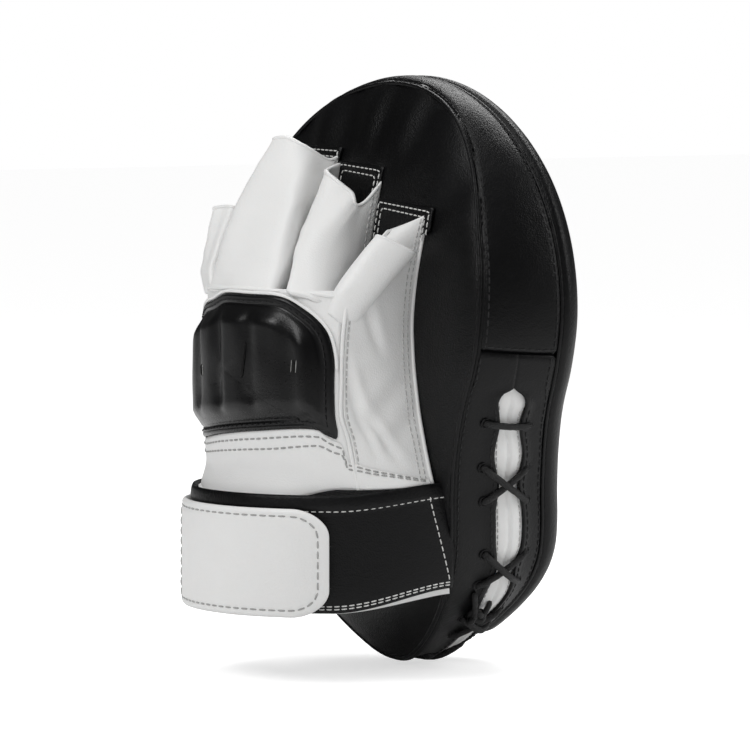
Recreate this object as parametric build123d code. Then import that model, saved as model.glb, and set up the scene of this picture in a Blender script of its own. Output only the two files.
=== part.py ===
from build123d import *
from collections import namedtuple
import math
import os

# Focus mitt for the left hand, millimetres.
# +Z runs from the heel to the finger end, -Y is the striking side ("front"), +Y is the hand
# side ("back"), -X is the thumb side. The model is drawn about the middle of the pad. Each
# piece is moved when saved, so that the origin is the middle of the palm surface.

os.makedirs("parts", exist_ok=True)

# ---------------------------------------------------------------- shared dimensions
PAD_HEIGHT = 250.0        # heel to finger end
HALF_H = PAD_HEIGHT / 2
SKIN = 1.8                # leather with its backing
GAP = 0.2                 # clearance between layers
THIN_GAP = 0.1            # clearance under the target print and the loop patch
SHEET = 1.2               # lining cloth and reinforcing patches

# Pad outline, seen along Y: tangent arcs, mirrored left to right.
TOP_R = 105.0             # finger end
UPPER_R = 90.5            # from the finger end to the widest point
MAX_HALF_WIDTH = 101.0
WIDEST_Z = 30.0
SIDE_R = 70.0             # below the widest point
WAIST_R = 241.0           # hollow waist
HEEL_R = 34.0
SIDE_END = -30.0          # outward direction where the side meets the waist, degrees from +X
WAIST_END = -16.7         # outward direction where the waist meets the heel side

# Front and back seams, seen along X.
FACE_Y = -17.4            # front seam over the fingers
BEND_SLOPE = 0.257        # the heel half leans forward by about 14 degrees
BEND_R = 150.0
BEND_TOP = BEND_R * math.tan(math.atan(BEND_SLOPE) / 2)
BEND_BOTTOM = -BEND_TOP * math.cos(math.atan(BEND_SLOPE))
BACK_Y = 18.0             # back seam at mid height
BACK_SAG = 24.0           # how much further forward it is at both ends
BACK_R = (HALF_H**2 + BACK_SAG**2) / (2 * BACK_SAG)
BACK_CENTRE_Y = BACK_Y - BACK_R
PALM_Y = BACK_Y + SKIN + GAP + SHEET

# Cutting shapes reach past the pad by these half sizes.
REACH_X = 130.0
REACH_Z = 140.0

ALONG_X = (1, 0, 0)
ALONG_Y = (0, 1, 0)
ALONG_Z = (0, 0, 1)

MIN_VOLUME = 1.0          # smaller slivers left by cuts are dropped


def save(name, shape):
    """Write one piece with the origin on the palm surface."""
    solids = [solid for solid in shape.solids() if solid.volume > MIN_VOLUME]
    piece = Compound(children=solids) if len(solids) > 1 else solids[0]
    export_step(piece.moved(Location((0, -PALM_Y, 0))), f"parts/{name}.step")


# ---------------------------------------------------------------- basic solids
def push(wire, length, direction):
    return extrude(Face(wire), amount=length, dir=direction)


def polygon(points):
    corners = [Vector(*point) for point in points]
    return Wire([Line(corners[i], corners[(i + 1) % len(corners)]) for i in range(len(corners))])


def prism_x(points, x0, x1):
    """Polygon given as (y, z), extruded along X."""
    return push(polygon([(x0, y, z) for y, z in points]), x1 - x0, ALONG_X)


def prism_y(points, y0, y1):
    """Polygon given as (x, z), extruded along Y."""
    return push(polygon([(x, y0, z) for x, z in points]), y1 - y0, ALONG_Y)


def round_bar(plane, radius, length, direction):
    return push(Wire([Edge.make_circle(radius, plane)]), length, direction)


def box(x0, x1, y0, y1, z0, z1):
    return Solid.make_box(x1 - x0, y1 - y0, z1 - z0, Plane((x0, y0, z0)))


# ---------------------------------------------------------------- pad outline
# Centre, radius, start and end angle in degrees, and sense: 1 bulges outwards, -1 is hollow.
OutlineArc = namedtuple("OutlineArc", "x z radius start end sense")


def polar(x, z, radius, degrees):
    angle = math.radians(degrees)
    return x + radius * math.cos(angle), z + radius * math.sin(angle)


def outline_arcs():
    """Arcs of the +X half, top to bottom."""
    top_z = HALF_H - TOP_R
    upper_x = MAX_HALF_WIDTH - UPPER_R
    top_end = math.degrees(math.atan2(WIDEST_Z - top_z, upper_x))
    side_x = MAX_HALF_WIDTH - SIDE_R
    side_end = polar(side_x, WIDEST_Z, SIDE_R, SIDE_END)
    waist = polar(*side_end, WAIST_R, SIDE_END)
    waist_end = polar(*waist, WAIST_R, WAIST_END + 180)
    # The heel side arc is tangent to the waist and to the heel circle.
    heel_z = -HALF_H + HEEL_R
    normal_x, normal_z = polar(0, 0, 1, WAIST_END)
    from_heel_x, from_heel_z = waist_end[0], waist_end[1] - heel_z
    heel_side_r = (from_heel_x**2 + from_heel_z**2 - HEEL_R**2) / (
        2 * (from_heel_x * normal_x + from_heel_z * normal_z - HEEL_R))
    heel_side = polar(*waist_end, -heel_side_r, WAIST_END)
    heel_start = math.degrees(math.atan2(heel_z - heel_side[1], -heel_side[0]))
    return [
        OutlineArc(0.0, top_z, TOP_R, 90.0, top_end, 1),
        OutlineArc(upper_x, WIDEST_Z, UPPER_R, top_end, 0.0, 1),
        OutlineArc(side_x, WIDEST_Z, SIDE_R, 0.0, SIDE_END, 1),
        OutlineArc(*waist, WAIST_R, SIDE_END + 180, WAIST_END + 180, -1),
        OutlineArc(*heel_side, heel_side_r, WAIST_END, heel_start, 1),
        OutlineArc(0.0, heel_z, HEEL_R, heel_start, -90.0, 1),
    ]


ARCS = outline_arcs()


def arc_point(arc, degrees, off):
    return polar(arc.x, arc.z, arc.radius + off * arc.sense, degrees)


def form(off):
    """The pad outline as a straight prism along Y, off mm outside the seams."""
    y0, y1 = -110.0, 40.0
    edges = []
    for mirror in (1, -1):
        for arc in ARCS:
            angles = (arc.start, (arc.start + arc.end) / 2, arc.end)
            points = [arc_point(arc, degrees, off) for degrees in angles]
            edges.append(ThreePointArc(*[(x * mirror, y0, z) for x, z in points]))
    return push(Wire(edges), y1 - y0, ALONG_Y)


# ---------------------------------------------------------------- seam surfaces
def front_y(z):
    if z >= BEND_TOP:
        return FACE_Y
    if z <= BEND_BOTTOM:
        return FACE_Y + BEND_SLOPE * z
    return FACE_Y - BEND_R + math.sqrt(BEND_R**2 - (z - BEND_TOP) ** 2)


def back_y(z, off):
    return BACK_CENTRE_Y + math.sqrt((BACK_R + off) ** 2 - z * z)


def front_edges(shift, x, top, bottom):
    """Front seam line shifted along Y, from top (above the bend's lower end) to bottom."""
    def point(z):
        return (x, front_y(z) + shift, z)

    edges = []
    if top > BEND_TOP:
        edges.append(Line(point(top), point(BEND_TOP)))
    arc_top = min(top, BEND_TOP)
    middle = (arc_top + BEND_BOTTOM) / 2
    edges.append(ThreePointArc(point(arc_top), point(middle), point(BEND_BOTTOM)))
    edges.append(Line(point(BEND_BOTTOM), point(bottom)))
    return edges


def front_slab(low, high, top=REACH_Z, bottom=-REACH_Z, half_width=REACH_X):
    """Everything between the front seam line shifted by low and by high."""
    a = front_edges(low, -half_width, top, bottom)
    b = front_edges(high, -half_width, top, bottom)
    wire = Wire(a + b + [Line(a[0] @ 0, b[0] @ 0), Line(a[-1] @ 1, b[-1] @ 1)])
    return push(wire, 2 * half_width, ALONG_X)


def after_front(shift):
    """Everything behind the front seam line shifted by shift."""
    far_y = 60.0
    edges = front_edges(shift, -REACH_X, REACH_Z, -REACH_Z)
    far_top, far_bottom = (-REACH_X, far_y, REACH_Z), (-REACH_X, far_y, -REACH_Z)
    wire = Wire(edges + [Line(edges[0] @ 0, far_top), Line(far_top, far_bottom),
                         Line(far_bottom, edges[-1] @ 1)])
    return push(wire, 2 * REACH_X, ALONG_X)


def back_arc(off, z0, z1):
    return ThreePointArc(*[(-REACH_X, back_y(z, off), z) for z in (z0, (z0 + z1) / 2, z1)])


def back_slab(low, high):
    """Everything between low and high outside the back seam surface."""
    a, b = back_arc(low, -REACH_Z, REACH_Z), back_arc(high, -REACH_Z, REACH_Z)
    return push(Wire([a, b, Line(a @ 0, b @ 0), Line(a @ 1, b @ 1)]), 2 * REACH_X, ALONG_X)


def back_region(off, far_y, z0, z1):
    """Everything from the back seam surface, moved out by off, to the plane at far_y."""
    start, end = (-REACH_X, back_y(z0, off), z0), (-REACH_X, back_y(z1, off), z1)
    far_start, far_end = (-REACH_X, far_y, z0), (-REACH_X, far_y, z1)
    wire = Wire([back_arc(off, z0, z1), Line(end, far_end), Line(far_end, far_start),
                 Line(far_start, start)])
    return push(wire, 2 * REACH_X, ALONG_X)


def before_back(off):
    return back_region(off, -120.0, -REACH_Z, REACH_Z)


def above_pad(z0, z1):
    """Everything on the hand side of the palm sheets, between two heights."""
    return back_region(SKIN + 2 * GAP + SHEET, 130.0, z0, z1)


# ---------------------------------------------------------------- striking face and foam
FACE_DEPTH = 20.5         # from the front seam to the striking surface
SHOULDER_R = 17.5         # rounded edge of the striking face
STRIKE_FOAM = 12.0        # dense foam right behind the face
BACK_FOAM = 6.0           # soft foam right under the palm


def face_block(off):
    """The rounded block in front of the front seam, off mm inside its skin."""
    block = (form(-off) & front_slab(-FACE_DEPTH + off, 0.0)).solids()[0]

    def on_front(edge):
        points = [edge @ t for t in (0.0, 0.37, 0.5, 0.81, 1.0)]
        return all(abs(p.Y - (front_y(p.Z) - FACE_DEPTH + off)) < 0.05 for p in points)

    def is_level(edge):
        """True for the lines across the face at the ends of the bend."""
        return all(abs((edge @ t).Z - (edge @ 0).Z) < 0.01 for t in (0.3, 1.0))

    rim = [e for e in block.edges() if on_front(e) and abs(e.length) > 0.5 and not is_level(e)]
    return fillet(rim, SHOULDER_R - off)


def build_face():
    save("face_cover", face_block(0.0) - face_block(SKIN))
    core_zone = face_block(SKIN + GAP)
    split = -FACE_DEPTH + SKIN + GAP + STRIKE_FOAM
    save("strike_foam", core_zone & front_slab(-FACE_DEPTH - 5, split))
    save("face_backing_foam", core_zone & front_slab(split + GAP, -GAP))


def build_core():
    inside_wall = form(-(SKIN + GAP))
    save("core_foam", inside_wall & after_front(GAP) & before_back(-BACK_FOAM - 2 * GAP))
    save("back_foam", inside_wall & back_slab(-BACK_FOAM - GAP, -GAP))
    save("back_panel", form(0.0) & back_slab(0.0, SKIN))


build_face()
build_core()

# ---------------------------------------------------------------- lacing
RIM_FRONT = 12.5          # side wall between the front seam and the laced opening
SLOT_WIDTH = 12.5         # laced opening that shows the gusset
SLOT_R = SLOT_WIDTH / 2
SLOT_TOP = -5.0           # height of the rounded top of the laced opening
SLOT_CAP_Z = SLOT_TOP - SLOT_R
LACE_D = 3.0              # lacing cord
LACE_STUB_D = LACE_D * 0.93   # cord where it passes through a hole
LACE_SPAN_D = LACE_D * 0.9    # cord between holes
LACE_HOLE_D = 3.6
LACE_LIFT = 0.15          # clearance between cord and leather
STUB_EXTRA = 1.0          # how far a stub runs out past the cord's middle line
FRONT_MARGIN = 3.0        # hole to the front edge of the opening
STATION_PITCH = 3.0       # rough spacing of the stations round the outline
DEGREES_PER_RADIAN = 57.3  # rounded, only sets the number of stations

STRAIGHT_LACE_Z = -19.0
STRAIGHT_MARGIN, STRAIGHT_BOW = 4.0, 0.4    # hole to the opening's back edge; outward bow
CROSSED_MARGIN, CROSSED_BOW = 5.0, 0.9
# Crossed laces on each side: middle, upper holes, lower holes, as heights.
CROSSED_LACES = [(-44.0, -37.0, -51.0), (-80.5, -73.5, -87.5), (-108.0, -103.5, -113.5)]
HEEL_LACE_STEP = 2.3      # stations from the heel's lowest point to the holes beside it

# A place on the outline with its outward unit normal.
Station = namedtuple("Station", "x z normal_x normal_z")


def outline_stations():
    """Stations down the +X half and back up the -X half."""
    stations = []
    for mirror in (1, -1):
        for arc in ARCS if mirror == 1 else reversed(ARCS):
            start, end = (arc.start, arc.end) if mirror == 1 else (arc.end, arc.start)
            length = abs(end - start) * arc.radius / DEGREES_PER_RADIAN
            steps = max(2, int(length / STATION_PITCH))
            for k in range(steps):
                degrees = start + (end - start) * k / steps
                x, z = arc_point(arc, degrees, 0.0)
                normal_x, normal_z = polar(0, 0, arc.sense, degrees)
                stations.append(Station(x * mirror, z, normal_x * mirror, normal_z))
    return stations


RING = outline_stations()


def ring_at(height, side):
    """Fractional station at a height on one side; side +1 or -1 in X."""
    found = None
    for k, a in enumerate(RING):
        b = RING[(k + 1) % len(RING)]
        if a.x * side < -1e-6 or b.x * side < -1e-6:
            continue
        if (a.z - height) * (b.z - height) <= 0 and abs(a.z - b.z) > 1e-9:
            found = k + (a.z - height) / (a.z - b.z)
    return found


def lace_point(station, y, off):
    """Point off mm outside the wall leather at a fractional station and depth y."""
    index = math.floor(station)
    share = station - index
    a, b = RING[index % len(RING)], RING[(index + 1) % len(RING)]
    ax, az = a.x + a.normal_x * off, a.z + a.normal_z * off
    bx, bz = b.x + b.normal_x * off, b.z + b.normal_z * off
    return Vector(ax + (bx - ax) * share, y, az + (bz - az) * share)


def rod(start, end, diameter):
    axis = end - start
    return Solid.make_cylinder(diameter / 2, axis.length, Plane(origin=start, z_dir=axis))


def strand(front, back, front_station, back_station, bow):
    """Cord between a hole at depth front and one at depth back, with a stub into each."""
    off = LACE_D / 2 + LACE_LIFT + bow

    def stub(station, y):
        return rod(lace_point(station, y, -SKIN * 0.8),
                   lace_point(station, y, off + STUB_EXTRA), LACE_STUB_D)

    span = rod(lace_point(front_station, front, off), lace_point(back_station, back, off),
               LACE_SPAN_D)
    return stub(front_station, front) + span + stub(back_station, back)


def hole(station, y):
    return rod(lace_point(station, y, -SKIN * 2.0), lace_point(station, y, SKIN), LACE_HOLE_D)


def slot_front(z):
    return front_y(z) + RIM_FRONT


def slot_back(z):
    return slot_front(z) + SLOT_WIDTH


def slot_form(shrink):
    """The laced opening through both side walls, shrink mm inside its edge."""
    cap_plane = Plane((-REACH_X, slot_front(SLOT_CAP_Z) + SLOT_R, SLOT_CAP_Z),
                      x_dir=ALONG_Y, z_dir=ALONG_X)
    cap = round_bar(cap_plane, SLOT_R - shrink, 2 * REACH_X, ALONG_X)
    return front_slab(RIM_FRONT + shrink, RIM_FRONT + SLOT_WIDTH - shrink, top=SLOT_CAP_Z) + cap


def build_lacing():
    """Save the cords and return the holes for the front and back rims."""
    cords, front_holes, back_holes = [], [], []

    def lace(z, stations, back_margin, bow):
        """A straight lace for one station, a crossed pair for two."""
        front, back = slot_front(z) - FRONT_MARGIN, slot_back(z) + back_margin
        strands = [strand(front, back, a, b, bow) for a, b in zip(stations, stations[::-1])]
        cord = strands[0]
        for other in strands[1:]:
            cord = cord + other
        cords.extend(cord.solids())
        front_holes.extend(hole(station, front) for station in stations)
        back_holes.extend(hole(station, back) for station in stations)

    for side in (-1, 1):
        lace(STRAIGHT_LACE_Z, [ring_at(STRAIGHT_LACE_Z, side)], STRAIGHT_MARGIN, STRAIGHT_BOW)
        for middle, upper, lower in CROSSED_LACES:
            lace(middle, [ring_at(upper, side), ring_at(lower, side)],
                 CROSSED_MARGIN, CROSSED_BOW)
    # One crossing under the heel.
    lowest = next(k for k, station in enumerate(RING) if station.z < -HALF_H + 0.01)
    lace(-HALF_H, [lowest - HEEL_LACE_STEP, lowest + HEEL_LACE_STEP],
         CROSSED_MARGIN, CROSSED_BOW)
    save("side_lace", Compound(children=cords))
    return front_holes, back_holes


# ---------------------------------------------------------------- side wall
CROSS_SEAM = 11.0         # seam between the upper side band and the heel walls
TONGUE_RECESS = 0.3       # gusset tongue below the outer leather surface


def build_side_wall():
    y0, y1 = -100, 60
    skin_ring = form(0.0) - form(-SKIN)
    wall = skin_ring & after_front(GAP) & before_back(-GAP)
    upper = box(-REACH_X, REACH_X, y0, y1, CROSS_SEAM + GAP, REACH_Z)
    save("side_band_upper", wall & upper)

    rims = (wall & box(-REACH_X, REACH_X, y0, y1, -REACH_Z, CROSS_SEAM)) - slot_form(0.0)
    front_rim = rims & front_slab(-60, RIM_FRONT + SLOT_R - GAP / 2)
    back_rim = rims & after_front(RIM_FRONT + SLOT_R + GAP / 2)
    front_holes, back_holes = build_lacing()
    for cut in front_holes:
        front_rim = front_rim - cut
    for cut in back_holes:
        back_rim = back_rim - cut
    save("heel_rim_front", front_rim)
    save("heel_rim_back", back_rim)
    # The gusset is a padded tongue that fills the laced opening.
    save("gusset_tongue", (form(-TONGUE_RECESS) - form(-SKIN)) & slot_form(GAP))


build_side_wall()

# ---------------------------------------------------------------- target print
TARGET_OUTER_D = 82.0
TARGET_INNER_D = 57.0
TARGET_DISC_D = 38.0
TARGET_Z = 2.0
PRINT = 0.3               # heat-pressed film


def build_target():
    surface = -FACE_DEPTH - THIN_GAP
    film = front_slab(surface - PRINT, surface, top=60, bottom=-60, half_width=60)

    def disc(diameter):
        return round_bar(Plane((0, -100, TARGET_Z), z_dir=ALONG_Y), diameter / 2, 90, ALONG_Y)

    save("target_ring", film & (disc(TARGET_OUTER_D) - disc(TARGET_INNER_D)))
    save("target_disc", film & disc(TARGET_DISC_D))


build_target()

# ---------------------------------------------------------------- palm side sheets
# Palm lining outline: x, z.
PALM_OUTLINE = [(-49, 29), (-49, 0), (-56, -46), (-52, -88),
                (54, -88), (60, -46), (58, 0), (58, 29)]
PATCH_BOTTOM = 30
# Finger patches: x of the two sides, then the top height at each side.
FINGER_PATCHES = [(-53.5, -14.6, 71.5, 73.5), (-13.8, 18.4, 88, 88.5),
                  (19.2, 45.4, 94.5, 95), (46.2, 65.5, 84, 80)]


def build_palm_sheets():
    y0, y1 = -100, 100
    sheet = back_slab(SKIN + GAP, SKIN + GAP + SHEET)
    save("palm_lining", sheet & prism_y(PALM_OUTLINE, y0, y1))
    patches = []
    for x0, x1, top0, top1 in FINGER_PATCHES:
        outline = [(x0, PATCH_BOTTOM), (x0, top0), (x1, top1), (x1, PATCH_BOTTOM)]
        patches += (sheet & prism_y(outline, y0, y1)).solids()
    save("finger_patches", Compound(children=patches))


build_palm_sheets()

# ---------------------------------------------------------------- hand compartment
HAND_R = 67.0             # arc over the back of the hand
HAND_X, HAND_Y = 2.5, 8.5  # centre of that arc
HAND_BASE = -50           # where the construction shapes start
HAND_BOTTOM = -44.8       # wrist edge of the leather
KNUCKLE_Z = 36.0          # the back of the hand ends and the finger stalls start
THUMB_FLANK_TOP = 76.0
FLANK_LOW_Y, FLANK_HIGH_Y = 16.0, 57.0
# Flanks: z, thumb side x at the low and high Y, little finger side x at the low and high Y.
FLANK_SECTIONS = [(HAND_BASE, -61.0, -49.0, 66.0, 60.5),
                  (0, -51.5, -47.0, 61.5, 58.0),
                  (80, -51.0, -46.5, 61.5, 58.0)]
# Where the flanks end and the shell over the hand starts: Y at each side.
THUMB_SEAM_Y, PINKY_SEAM_Y = 56.2, 44.0
# Thumb flank outline: y, z.
THUMB_FLANK = [(0, HAND_BOTTOM), (57.5, HAND_BOTTOM), (57.5, 30), (50, 38), (41, 50),
               (27, 62), (11, 71.5), (0, 75)]


def wedge(off):
    """Space between the two flanks, off mm outside them; wider at the wrist."""
    y0, y1 = 0, 100

    def flank_line(low_x, high_x, side):
        slope = (high_x - low_x) / (FLANK_HIGH_Y - FLANK_LOW_Y)
        shift = math.sqrt(1 + slope * slope) * off * side
        return [low_x + slope * (y - FLANK_LOW_Y) + shift for y in (y0, y1)]

    sections = []
    for z, thumb_low, thumb_high, pinky_low, pinky_high in FLANK_SECTIONS:
        thumb = flank_line(thumb_low, thumb_high, -1)
        pinky = flank_line(pinky_low, pinky_high, 1)
        sections.append(polygon([(thumb[0], y0, z), (pinky[0], y0, z),
                                 (pinky[1], y1, z), (thumb[1], y1, z)]))
    return Solid.make_loft(sections, ruled=True)


def hand_cylinder(off, height):
    return Solid.make_cylinder(HAND_R + off, height, Plane((HAND_X, HAND_Y, HAND_BASE)))


def hand_form(off):
    return hand_cylinder(off, 130) & wedge(off)


def hand_layer(low, high):
    """Full round layer over the hand arc, not trimmed by the flanks."""
    return hand_cylinder(high, 100) - hand_cylinder(low, 100)


def beyond_seams(gap):
    """Everything on the far side of the line between the tops of the two flanks."""
    thumb_y, pinky_y = THUMB_SEAM_Y + gap, PINKY_SEAM_Y + gap
    points = [(-90, thumb_y), (-47, thumb_y), (60, pinky_y), (90, pinky_y), (90, 120), (-90, 120)]
    return push(polygon([(x, y, -60) for x, y in points]), 200, ALONG_Z)


def build_hand_shell():
    layer = hand_form(0.0) - hand_form(-SKIN)
    save("hand_back_shell",
         layer & beyond_seams(GAP) & box(-90, 90, 0, 120, HAND_BOTTOM, KNUCKLE_Z))
    flanks = layer - beyond_seams(0)
    save("thumb_flank",
         (flanks & prism_x(THUMB_FLANK, -90, 0)) & above_pad(HAND_BOTTOM, THUMB_FLANK_TOP))
    save("pinky_flank",
         (flanks & box(0, 90, 0, 100, HAND_BOTTOM, KNUCKLE_Z)) & above_pad(HAND_BOTTOM, KNUCKLE_Z))


build_hand_shell()

# ---------------------------------------------------------------- knuckle panel and yoke
PANEL_FOAM = 3.8          # height of the space under the panel leather
PANEL_SKIN = 1.5
PANEL_INSET = 3.3         # width of the panel's edge wall
FOAM_INSET = 4.6
FOAM_LEFT_X = -37.0       # the foam stops here towards the thumb
PIPING_IN, PIPING_OUT = 0.15, 1.9   # piping edges, outside the panel outline
PIPING_BOTTOM = -16
PIPING_HEIGHT = 1.6
YOKE_SKIN = 1.6
YOKE_CLEARANCE = 0.3      # round the panel
YOKE_SPLIT_Y = 56.5       # the tails take over in front of this
# Panel outline: x, z.
PANEL = [(-45, -22.5), (-45.5, 2), (-44, 15), (-40.5, 23), (-33, 30), (-24, 34.8),
         (-8, 35.4), (8, 35.2), (19, 32), (33, 29), (45, 22), (51, 10), (52, -4),
         (50, -27), (34, -27), (10, -24), (-12, -21.5), (-38, -19.5)]
PANEL_MIDDLE_X = sum(x for x, z in PANEL) / len(PANEL)
PANEL_MIDDLE_Z = 3.0
# Yoke over the back of the hand: x, z.
YOKE = [(-60, HAND_BOTTOM), (-60, -22.9), (-45, -22.9), (-38, -19.9), (-12, -21.9),
        (10, -24.4), (34, -27.4), (50, -27.4), (75, -27.4), (75, HAND_BOTTOM)]
# Lower part of both yoke tails: y, z.
TAIL_END = [(30.5, -39), (16, -42.0), (5, -42.0), (5, HAND_BOTTOM)]


def panel_prism(grow):
    """Panel outline with each corner moved out by grow, as a prism along Y."""
    points = []
    for i, (x, z) in enumerate(PANEL):
        before, after = PANEL[i - 1], PANEL[(i + 1) % len(PANEL)]
        along_x, along_z = after[0] - before[0], after[1] - before[1]
        length = math.hypot(along_x, along_z)
        out_x, out_z = along_z / length, -along_x / length
        if out_x * (x - PANEL_MIDDLE_X) + out_z * (z - PANEL_MIDDLE_Z) < 0:
            out_x, out_z = -out_x, -out_z
        points.append((x + out_x * grow, z + out_z * grow))
    return prism_y(points, 40, 120)


def build_knuckle_panel():
    foam_top = GAP + PANEL_FOAM
    save("knuckle_foam", (hand_layer(GAP + 0.2, foam_top - 0.5) & panel_prism(-FOAM_INSET))
         & box(FOAM_LEFT_X, 90, 0, 120, -60, 60))
    cup = hand_layer(GAP, foam_top + GAP + PANEL_SKIN) & panel_prism(0.0)
    hollow = hand_layer(GAP - 1, foam_top + GAP) & panel_prism(-PANEL_INSET)
    save("knuckle_panel", cup - hollow)
    strip = panel_prism(PIPING_OUT) - panel_prism(PIPING_IN)
    save("panel_piping", (hand_layer(GAP, GAP + PIPING_HEIGHT) & strip)
         & box(-90, 90, 40, 120, PIPING_BOTTOM, 60) & wedge(0.0))


def build_yoke():
    """Yoke below the knuckle panel, with tails that run down both flanks to the pad."""
    layer = hand_form(GAP + YOKE_SKIN) - hand_form(GAP)

    def tail(top_z, corner_y, x0, x1):
        start = [(YOKE_SPLIT_Y, HAND_BOTTOM), (YOKE_SPLIT_Y, top_z), (corner_y, -32.5)]
        return prism_x(start + TAIL_END, x0, x1)

    yoke = (layer & prism_y(YOKE, YOKE_SPLIT_Y, 130)) - panel_prism(YOKE_CLEARANCE)
    yoke = yoke + (layer & tail(-25, 51.5, -90, -40)) + (layer & tail(-28, 48, 44, 90))
    save("hand_back_band", yoke & above_pad(HAND_BOTTOM, 0))


build_knuckle_panel()
build_yoke()

# ---------------------------------------------------------------- finger stalls
STALL_SKIN = 1.6
STALL_BASE_Y = -12        # sections start inside the pad and are trimmed by its back
STALL_BOTTOM = KNUCKLE_Z + GAP
# Name, x of the two sides, finger end height, then sections of z, top y, rise of the arch.
STALLS = [
    ("stall_index", -44.6, -14.8, 64, [(30, 56, 17), (50, 44, 15), (70, 28, 12)]),
    ("stall_middle", -13.8, 18.2, 86, [(30, 74, 17), (60, 52, 16), (92, 27, 12)]),
    ("stall_ring", 19.2, 45.0, 99, [(30, 68, 15), (60, 54, 14), (102, 25, 12)]),
    ("stall_pinky", 46.0, 64.5, 70, [(30, 55, 11), (50, 54, 11), (74, 47, 10)]),
]


def stall_section(z, x0, x1, top, rise):
    """Arch section: straight sides and a round top."""
    spring = top - rise
    return Wire([
        Line((x0, STALL_BASE_Y, z), (x1, STALL_BASE_Y, z)),
        Line((x1, STALL_BASE_Y, z), (x1, spring, z)),
        ThreePointArc((x1, spring, z), ((x0 + x1) / 2, top, z), (x0, spring, z)),
        Line((x0, spring, z), (x0, STALL_BASE_Y, z)),
    ])


def stall_loft(x0, x1, sections, inset):
    wires = [stall_section(z, x0 + inset, x1 - inset, top - inset, max(rise - inset, 2))
             for z, top, rise in sections]
    return Solid.make_loft(wires, ruled=True)


for name, x0, x1, z_end, sections in STALLS:
    tube = stall_loft(x0, x1, sections, 0) - stall_loft(x0, x1, sections, STALL_SKIN)
    tube = tube & above_pad(STALL_BOTTOM, z_end)
    save(name, tube & box(x0 - 1, x1 + 1, -20, 120, STALL_BOTTOM, z_end))

# ---------------------------------------------------------------- wrist strap
CUFF_X, CUFF_Y = 2.0, 10.0
CUFF_HALF_WIDTH, CUFF_HEIGHT = 65.0, 75.3   # ellipse radii along X and Y, outer surface
CUFF_Z0, CUFF_Z1 = -100.0, -40.0            # ends of the construction shapes
STRAP_TOP, STRAP_BOTTOM = -45.2, -93.0
STRAP_SKIN = 2.0
STRAP_LINING = 1.6
THUMB_STRAP_X = (-90, 25)
PINKY_STRAP_X = (38, 90)
TAB_TOP, TAB_BOTTOM = -52.0, -97.0
TAB_LEFT, TAB_RIGHT = -48.5, 50.5
TAB_END_R = 17.0
# Layers over the strap, from its outer surface.
LOOP_LOW = THIN_GAP
LOOP_HIGH = LOOP_LOW + SHEET
HOOK_LOW = LOOP_HIGH + GAP
HOOK_HIGH = HOOK_LOW + SHEET
TAB_LOW = HOOK_HIGH + GAP


def cuff_form(off):
    plane = Plane(origin=(CUFF_X, CUFF_Y, CUFF_Z0), x_dir=ALONG_Y, z_dir=ALONG_Z)
    ellipse = Edge.make_ellipse(CUFF_HEIGHT + off, CUFF_HALF_WIDTH + off, plane)
    return push(Wire([ellipse]), CUFF_Z1 - CUFF_Z0, ALONG_Z)


def cuff_layer(low, high):
    return cuff_form(high) - cuff_form(low)


def build_straps():
    strap = cuff_layer(-STRAP_SKIN, 0.0)
    lining_outer = -STRAP_SKIN - GAP
    lining = cuff_layer(lining_outer - STRAP_LINING, lining_outer)
    pad_side = above_pad(CUFF_Z0, CUFF_Z1)
    for name, layer, x_range, bottom in (
        ("wrist_strap", strap, THUMB_STRAP_X, STRAP_BOTTOM),
        ("wrist_lining", lining, THUMB_STRAP_X, STRAP_BOTTOM + 1.5),
        ("pinky_strap", strap, PINKY_STRAP_X, STRAP_BOTTOM),
        ("pinky_lining", lining, PINKY_STRAP_X, STRAP_BOTTOM - 3.0),
    ):
        save(name, layer & box(*x_range, 0, 120, bottom, STRAP_TOP) & pad_side)


def build_closure():
    """Loop patch, hook patch over it, and the tab on top with a rounded thumb-side end."""
    y0, y1 = 40, 120
    save("loop_patch", cuff_layer(LOOP_LOW, LOOP_HIGH)
         & box(-43, 23, y0, y1, TAB_BOTTOM + 5.5, TAB_TOP - 2))
    save("hook_patch", cuff_layer(HOOK_LOW, HOOK_HIGH)
         & box(-41, 21, y0, y1, TAB_BOTTOM + 7, TAB_TOP - 4))
    tab = cuff_layer(TAB_LOW, TAB_LOW + STRAP_SKIN) & box(
        TAB_LEFT, TAB_RIGHT, y0, y1, TAB_BOTTOM, TAB_TOP)
    round_x = TAB_LEFT + TAB_END_R
    for round_z, far_z in ((TAB_TOP - TAB_END_R, TAB_TOP - TAB_END_R + 30),
                           (TAB_BOTTOM + TAB_END_R, TAB_BOTTOM + TAB_END_R - 30)):
        corner = box(-60, round_x, 30, 130, min(round_z, far_z), max(round_z, far_z))
        plane = Plane((round_x, 20, round_z), z_dir=ALONG_Y)
        tab = tab - (corner - round_bar(plane, TAB_END_R, 120, ALONG_Y))
    save("hook_tab", tab)


build_straps()
build_closure()
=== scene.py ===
"""A black and white striking mitt: a stuffed pad with a hand compartment and wrist strap.

Drawing coordinates are millimetres from the middle of the pad. -Y is the striking face
(front), +Y the hand side (back), +Z the finger end, -Z the heel, -X the thumb side and +X
the little finger side. The frame is in metres, and its origin lies PALM mm behind the
drawing's, on the palm surface.
"""
import bisect
from math import (atan, atan2, copysign, cos, degrees, asin, dist, exp, hypot, pi, radians,
                  sin, sqrt, tan)

import bmesh
import bpy
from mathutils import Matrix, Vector, noise


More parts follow.
